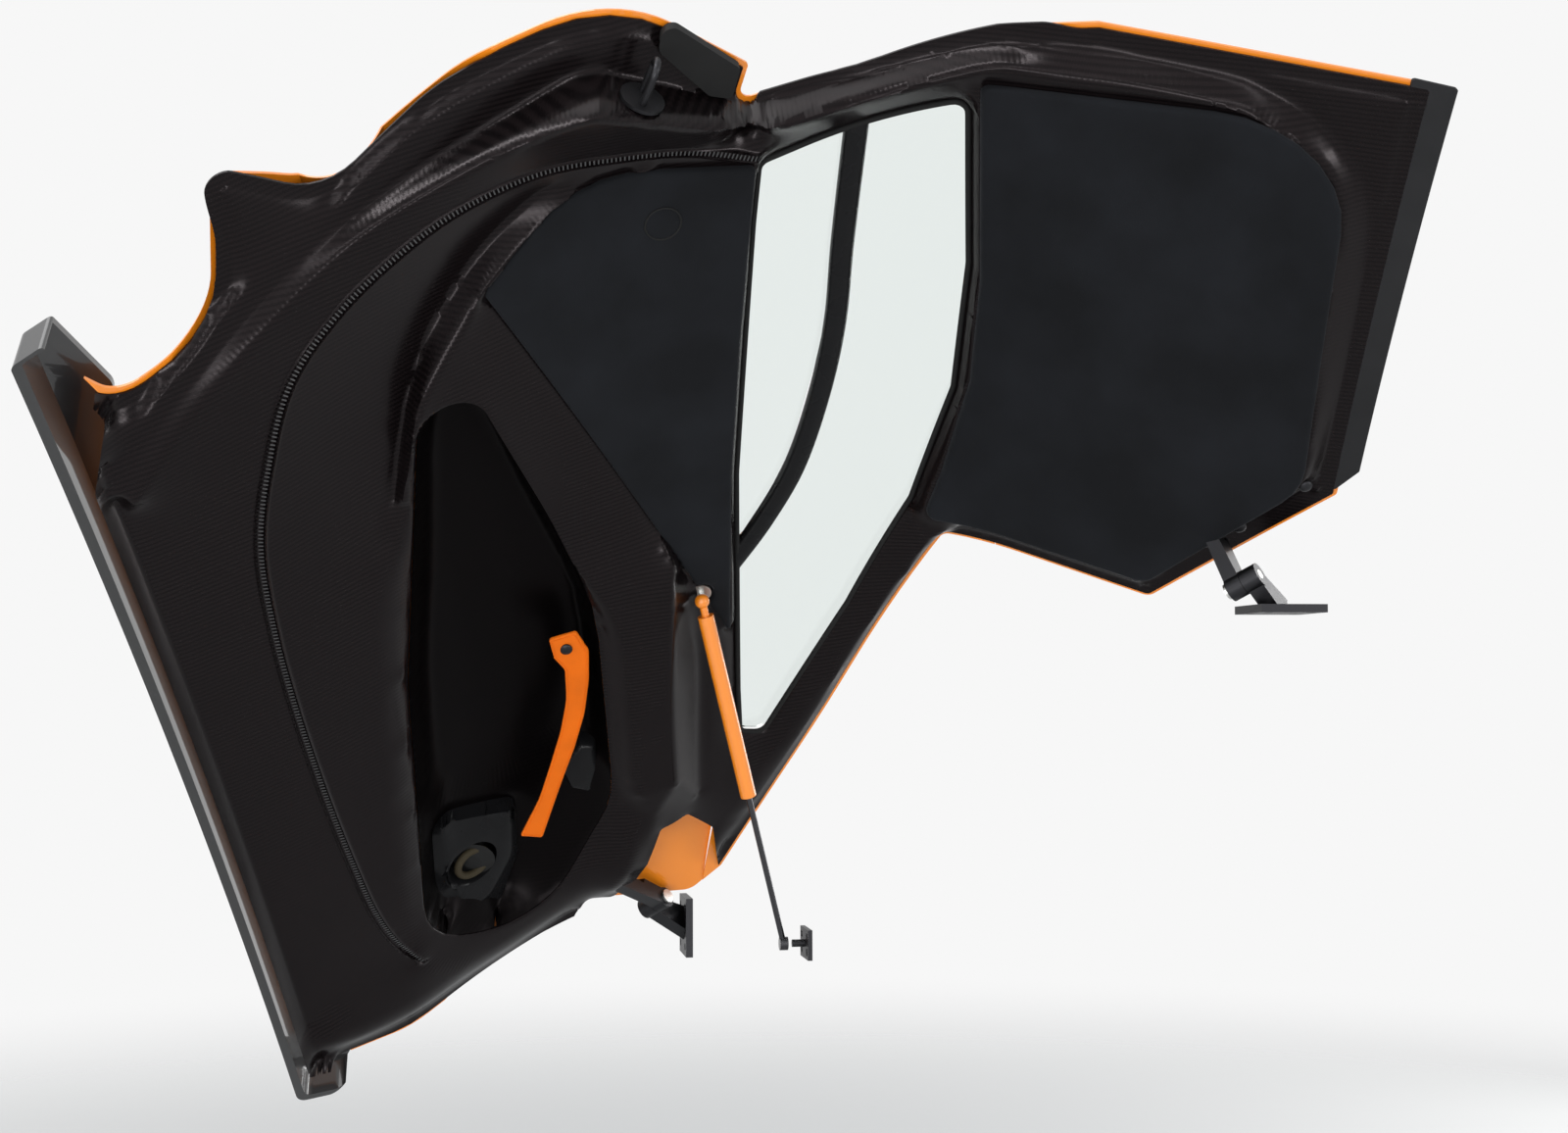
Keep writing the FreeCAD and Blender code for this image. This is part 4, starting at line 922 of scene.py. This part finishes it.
def mould_pocket():
    bowl = Panel()
    lip = inset(pocket, 0.6)
    rim = tray.under(pocket)[:, 2]
    bowl.line(lip, rim - 1.0, True)
    bowl.line(inset(pocket, 4.0), rim - 5.0, True)
    belly = inset(pocket, BELLY_INSET)
    for a, b in zip(belly, np.roll(belly, -1, axis=0)):
        if a[1] < BELLY_END and b[1] < BELLY_END:
            bowl.line(np.array([[*a, POCKET_FLOOR + 6.0], [*b, POCKET_FLOOR + 6.0]]))
    bowl.line(creases["flank"])
    seat = rounded(POD_FOOT, STEP)
    near_lip = distance_along(ringed(lip), seat)[0] < 5.0
    bowl.line(seat, np.where(near_lip, math.nan, POD_RISE + 4.0), True)
    bowl.line(inset(seat, 8.0), POD_RISE, True)
    bowl.fill(lip, FILL)
    bowl.cut(lambda points: inside(lip, points))
    bowl.relax()
    gap, _ = distance_along(FLOOR_MIDDLE, bowl.place)
    bowl.rise += (POCKET_FLOOR - bowl.rise) * smooth(gap, 90.0, 30.0) * FLOOR_DRAW
    bowl.soften(creases["flank"], 50.0, 30)
    bowl.soften(ringed(belly), 16.0, 8)
    return bowl


bowl = mould_pocket()
# The bowl takes the darkened carbon copy, painted shade for the inside of the pocket.
bowl_piece = bowl.piece("pocket_bowl", POCKET_CARBON_SHADED, bowl.rise - SHEET, rib_map(bowl))
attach(bowl_piece, "door")
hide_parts("map_pocket")

# %% [markdown]
# The speaker sits in a pod with a rolled edge. Its mouth is round, and the cone in it is the
# CAD's own.

# %% The speaker pod
def mould_pod():
    pod = Panel()
    foot, face = inset(rounded(POD_FOOT, 4.0), 2.5), rounded(POD_FACE, 4.0)
    mouth = ring(SPEAKER_CENTRE, 30.5, 47)
    # Each row is a line, how far it is inset, and its rise.
    for line, distance, rise in (
            (foot, 0.0, POD_RISE), (foot, 3.0, -4.0), (face, -4.0, 3.0), (face, 0.0, 5.6),
            (face, 3.0, 6.4), (mouth, -5.0, 7.0), (mouth, -1.5, 6.6), (mouth, 0.0, 3.0)):
        pod.line(inset(line, distance), rise, True)
    pod.fill(foot, 8.0)
    pod.cut(lambda points: inside(foot, points) & ~inside(mouth, points))
    pod.relax()
    return pod


pod_piece = mould_pod().piece("speaker_pod", SATIN_BLACK, POCKET_FLOOR)
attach(pod_piece, "door")
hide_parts("speaker_housing")

# %% [markdown]
# The strap is a flat leather band that hangs in a curve from the armrest to the pocket's
# front. Its edges turn down a little, so it catches light along both sides.

# %% The strap
STRAP = [
    (65, -558, 3), (31, -554, 5), (20, -517, 14), (26, -470, 120), (39, -417, 120), (59, -367, 120),
    (83, -319, 120), (121, -240, 3), (147, -261, 3), (115, -306, 120), (94, -352, 120), (73, -401, 120),
    (58, -450, 120), (53, -500, 12), (63, -525, 3),
]
STRAP_RISE = 40.0
STRAP_THICKNESS = 2.4
STRAP_EDGE = ((0.0, -1.5), (1.2, -0.3), (2.5, 0.0), (5.0, 0.0))


def stepped(outline, steps, base=0.0):
    """A small panel whose edge rolls over in steps of inset and rise."""
    panel = Panel()
    for distance, rise in steps:
        panel.line(inset(outline, distance), base + rise, True)
    panel.cut(lambda points: inside(outline, points))
    panel.relax()
    return panel


strap_line = rounded(STRAP, 3.0)
strap = stepped(strap_line, STRAP_EDGE, STRAP_RISE)
strap_piece = strap.piece("orange_strap", STRAP_ORANGE, strap.rise - STRAP_THICKNESS)
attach(strap_piece, "door")
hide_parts("pull_strap")

# %% [markdown]
# The pull handle of the pocket is a small satin black shell on the wall below the armrest.

# %% The pocket handle
HANDLE = [(54, -352, 5), (34, -341, 6), (33, -298, 14), (50, -259, 6), (77, -282, 8), (86, -326, 8)]
HANDLE_EDGE = ((0.0, 10.0), (2.0, 19.0), (4.5, 23.0), (9.0, 24.5))
handle = stepped(rounded(HANDLE, 3.0), HANDLE_EDGE)
handle_piece = handle.piece("pocket_handle", SATIN_BLACK, -4.0)
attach(handle_piece, "door")

# %% [markdown]
# The bar between the two panes is one smooth curve, a little crowned.

# %% The window bar
WINDOW_BAR = [
    (-372, -1200), (-366, -1152), (-344, -1000), (-330, -890), (-306, -790),
    (-268, -688), (-222, -616), (-176, -562), (-150, -535),
]
BAR_HALF = 13.5
BAR_ROWS = ((12.0, 10.0), (9.0, 12.0), (0.0, 12.6))


def mould_window_bar():
    bar = Panel()
    middle = spline(WINDOW_BAR, 6.0)
    outline = np.vstack([beside(middle, -BAR_HALF), beside(middle, BAR_HALF)[::-1]])
    frame_line = inset(window, 0.5)
    bar.line(frame_line, None, True)
    bar.line(outline, 7.0, True)
    for distance, rise in BAR_ROWS:
        for sign in (-1.0, 1.0) if distance else (1.0,):
            bar.line(beside(middle, sign * distance), rise)
    bar.cut(lambda points: inside(outline, points) & inside(frame_line, points))
    bar.relax()
    return bar


bar_piece = mould_window_bar().piece("window_bar", SATIN_BLACK, -5.0)
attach(bar_piece, "door")
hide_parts("window_divider")

# %% [markdown]
# What repeats, or follows a line, is grown by Geometry Nodes: a line of points goes in, and a
# tube along it, or copies spaced along it, come out. Each group names its inputs.

# %% Grown along a line
class Graph:
    """A Geometry Nodes group with named inputs: a line goes in, a piece comes out."""

    def __init__(self, name, **kinds):
        self.tree = bpy.data.node_groups.new(name, "GeometryNodeTree")
        face = self.tree.interface
        face.new_socket("Line", in_out="INPUT", socket_type="NodeSocketGeometry")
        face.new_socket("Piece", in_out="OUTPUT", socket_type="NodeSocketGeometry")
        for title, kind in kinds.items():
            face.new_socket(title, in_out="INPUT", socket_type="NodeSocket" + kind)
        self.given = self.tree.nodes.new("NodeGroupInput").outputs
        self.ends = self.tree.nodes.new("NodeGroupOutput").inputs

    def node(self, kind, inputs, prefix="GeometryNode", **settings):
        node = self.tree.nodes.new(prefix + kind)
        for title, value in settings.items():
            setattr(node, title, value)
        for title, value in inputs.items():
            if isinstance(value, bpy.types.NodeSocket):
                self.tree.links.new(value, node.inputs[title])
            else:
                node.inputs[title].default_value = value
        return node.outputs[0]

    def curve(self):
        line = self.node("MeshToCurve", {"Mesh": self.given["Line"]})
        return self.node("ResampleCurve", {"Curve": line, "Length": self.given["Spacing"]}, mode="LENGTH")

    def upright(self, rotation, axis, vector, pivot="AUTO"):
        return self.node("AlignRotationToVector", {"Rotation": rotation, "Vector": vector}, "FunctionNode",
                         axis=axis, pivot_axis=pivot)

    def copies(self, points, item, turn):
        return self.node("InstanceOnPoints", {"Points": points, "Instance": item, "Rotation": turn})

    def finish(self, piece):
        whole = self.node("RealizeInstances", {"Geometry": piece})
        dressed = self.node("SetMaterial", {"Geometry": whole, "Material": self.given["Material"]})
        self.tree.links.new(dressed, self.ends["Piece"])
        return self.tree


def tube_graph():
    graph = Graph("tube_along", Spacing="Float", Radius="Float", Material="Material")
    circle = graph.node("CurvePrimitiveCircle", {"Resolution": 10, "Radius": graph.given["Radius"]})
    tube = graph.node("CurveToMesh", {"Curve": graph.curve(), "Profile Curve": circle, "Fill Caps": True})
    return graph.finish(graph.node("SetShadeSmooth", {"Geometry": tube}))


def bar_graph():
    graph = Graph("bars_along", Spacing="Float", Size="Vector", Up="Vector", Material="Material")
    bar = graph.node("MeshCube", {"Size": graph.given["Size"]})
    along = graph.upright((0.0, 0.0, 0.0), "X", graph.node("InputTangent", {}))
    turn = graph.upright(along, "Z", graph.given["Up"], "X")
    return graph.finish(graph.copies(graph.curve(), bar, turn))


def stud_graph():
    graph = Graph("studs_at", Radius="Float", Up="Vector", Material="Material")
    ball = graph.node("MeshUVSphere", {"Segments": 24, "Rings": 12, "Radius": graph.given["Radius"]})
    head = graph.node("Transform", {"Geometry": ball, "Scale": (1.0, 1.0, 0.45)})
    turn = graph.upright((0.0, 0.0, 0.0), "Z", graph.given["Up"])
    studs = graph.copies(graph.given["Line"], head, turn)
    return graph.finish(graph.node("SetShadeSmooth", {"Geometry": studs}))


def grow(name, graph, places, slot, closed=False, **values):
    """Grow a piece on (w, u, rise) places of the door and let it ride the door."""
    points = to_car(on_door(*np.array(places, float).T))
    pairs = [(k, (k + 1) % len(points)) for k in range(len(points) if closed else len(points) - 1)]
    mesh = bpy.data.meshes.new(name + "_line")
    mesh.from_pydata(points.tolist(), pairs if "Spacing" in values else [], [])
    line = shown(name + "_line", mesh)
    modifier = line.modifiers.new("grow", "NODES")
    modifier.node_group = graph
    for item in graph.interface.items_tree:
        if item.name in values:
            modifier[item.identifier] = values[item.name]
    grown = line.evaluated_get(bpy.context.evaluated_depsgraph_get())
    piece = shown(name, bpy.data.meshes.new_from_object(grown))
    bpy.data.objects.remove(line)
    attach(piece, "door")
    print(name, len(piece.data.polygons), "faces")


def level(line, rise):
    """A (w, u) line at one rise."""
    return np.column_stack([line, np.full(len(line), rise)])


TUBE, BARS, STUDS = tube_graph(), bar_graph(), stud_graph()
UP = -Vector(TO_CAR.col[2][:3]).normalized()
PROUD = 0.5
PAD_MARK_CENTRE, PAD_MARK_RISE = (-141.0, -1105.0), 37.6
ROOF_BOLTS = [(-755, -649), (-792, -641), (-762, -599), (-856, -720), (-683, -532)]

grow("seal_ladder", BARS, tray.under(creases["seal"], PROUD), "carbon", Spacing=0.0048,
     Size=(0.0016, 0.0062, 0.0014), Up=UP, Material=GLOSS_BLACK)
grow("window_seal", TUBE, level(inset(window, 1.5), 9.0), "black_trim", True, Spacing=0.006,
     Radius=0.0035, Material=RUBBER)
grow("pad_mark", TUBE, level(ring(PAD_MARK_CENTRE, 20.0, 31), PAD_MARK_RISE), "suede", True, Spacing=0.003,
     Radius=0.0011, Material=RUBBER)
grow("strap_stitches", BARS, level(inset(strap_line, 3.0), STRAP_RISE + 0.3), "strap", True, Spacing=0.0048,
     Size=(0.0032, 0.0009, 0.0009), Up=UP, Material=STRAP_ORANGE)
grow("strap_bolt", STUDS, [(47.0, -534.0, STRAP_RISE + PROUD)], "black_steel", Radius=0.0085, Up=UP,
     Material=BLACK_STEEL)
grow("cone_ring", TUBE, level(ring(SPEAKER_CENTRE, 19.0, 29), 4.0), "speaker", True, Spacing=0.004,
     Radius=0.0052, Material=CONE_RING)
grow("roof_bolts", STUDS, tray.under(np.array(ROOF_BOLTS, float), PROUD), "black_steel", Radius=0.008, Up=UP,
     Material=BLACK_STEEL)

# %% [markdown]
# The photograph was taken from behind the car, a little left of its middle, at about the
# height of the haunch. The camera keeps that place, so the render lines up with it.

# %% Camera
CAMERA_PLACE = (-2.9604, 0.3435, 0.3452)
CAMERA_YAW = math.radians(9.316)
CAMERA_PITCH = math.radians(3.452)
CAMERA_ROLL = math.radians(-0.23)
FOCAL_PIXELS = 2057.2
IMAGE_WIDTH = 1600.0


def set_camera():
    data = bpy.data.cameras.new("camera")
    data.sensor_width = 36.0
    data.lens = FOCAL_PIXELS / IMAGE_WIDTH * data.sensor_width
    camera = shown("camera", data)
    ahead = Vector((math.cos(CAMERA_YAW) * math.cos(CAMERA_PITCH),
                    -math.sin(CAMERA_YAW) * math.cos(CAMERA_PITCH), math.sin(CAMERA_PITCH)))
    right = Vector((-math.sin(CAMERA_YAW), -math.cos(CAMERA_YAW), 0.0))
    up = right.cross(ahead)
    side = right * math.cos(CAMERA_ROLL) + up * math.sin(CAMERA_ROLL)
    top = -right * math.sin(CAMERA_ROLL) + up * math.cos(CAMERA_ROLL)
    camera.matrix_world = (Matrix.Translation(CAMERA_PLACE)
                           @ Matrix((side, top, -ahead)).transposed().to_4x4())
    bpy.context.scene.camera = camera


set_camera()

# %% [markdown]
# Outdoors the sky lights this door from above and behind. Narrow lamps stand in for the
# bright strips of sky and ground that draw a line along each crease. Broader ones fill from
# the top and the sides, and a pale floor sends some light back up.

# %% Stage and light
FLOOR_LEVEL = -0.6311
FLOOR_SIZE = 14.0
# The world's colour and strength as light, and as what the camera, metal and glass see.
WORLD = (((0.9, 0.95, 1.0, 1.0), 0.45), ((1.0, 1.0, 1.0, 1.0), 0.93))
MIDDLE = (-0.5, 0.0, 0.4)
# Each row is a name, a place, a width and height in metres, and a power in watts.
LAMPS = (
    ("sky", (-2.6, 2.3, 3.2), (3.2, 0.2), 72.0), ("horizon", (-2.75, 3.1, 1.0), (1.8, 0.18), 20.0),
    ("ground", (-3.15, 0.95, -0.5), (2.4, 0.35), 34.0), ("right", (-2.6, -2.7, 0.75), (1.4, 0.5), 30.0),
    ("behind", (-4.5, 0.7, 1.1), (2.6, 0.2), 18.0), ("ahead", (1.3, -2.7, 0.6), (0.5, 1.6), 22.0),
    ("top", (-0.8, 0.9, 3.8), (3.0, 2.2), 40.0),
)


def floor_shade(colour):
    """Pale concrete that fades out a few metres away, so that no horizon shows."""
    finish = Finish("pale_floor", colour, 0.9)
    away = finish.node("ShaderNodeVectorMath", {"operation": "DISTANCE"},
                       {0: finish.place(), 1: (-0.5, 0.0, FLOOR_LEVEL)}, 1)
    finish.give("Alpha", finish.node("ShaderNodeMapRange", {"interpolation_type": "SMOOTHSTEP"},
                                     {0: away, 1: 1.2, 2: 4.5, 3: 1.0, 4: 0.0}))
    return finish.material


def set_floor():
    mesh = bpy.data.meshes.new("floor")
    corners = [(x * FLOOR_SIZE, y * FLOOR_SIZE, FLOOR_LEVEL) for x, y in ((-1, -1), (1, -1), (1, 1), (-1, 1))]
    mesh.from_pydata(corners, [], [(0, 1, 2, 3)])
    mesh.materials.append(floor_shade((0.72, 0.72, 0.71)))
    floor = shown("floor", mesh)


def set_world():
    world = bpy.data.worlds.new("studio")
    bpy.context.scene.world = world
    world.use_nodes = True
    tree = world.node_tree
    tree.nodes.clear()
    path = tree.nodes.new("ShaderNodeLightPath")
    seen = path.outputs["Is Camera Ray"]
    for title in ("Is Glossy Ray", "Is Transmission Ray"):
        either = tree.nodes.new("ShaderNodeMath")
        either.operation = "MAXIMUM"
        tree.links.new(seen, either.inputs[0])
        tree.links.new(path.outputs[title], either.inputs[1])
        seen = either.outputs[0]
    mix = tree.nodes.new("ShaderNodeMixShader")
    output = tree.nodes.new("ShaderNodeOutputWorld")
    tree.links.new(seen, mix.inputs[0])
    for k, (colour, strength) in enumerate(WORLD):
        shade = tree.nodes.new("ShaderNodeBackground")
        shade.inputs["Color"].default_value = colour
        shade.inputs["Strength"].default_value = strength
        tree.links.new(shade.outputs[0], mix.inputs[k + 1])
    tree.links.new(mix.outputs[0], output.inputs[0])


def lamp(name, place, size, power):
    data = bpy.data.lights.new(name, "AREA")
    data.shape = "RECTANGLE"
    data.size, data.size_y = size
    data.energy = power
    lamp = shown(name, data)
    lamp.location = place
    lamp.rotation_euler = (Vector(MIDDLE) - Vector(place)).to_track_quat("-Z", "Y").to_euler()


set_floor()
set_world()
for row in LAMPS:
    lamp(*row)
bpy.context.scene.view_settings.view_transform = "Standard"
print(len(LAMPS), "lamps")
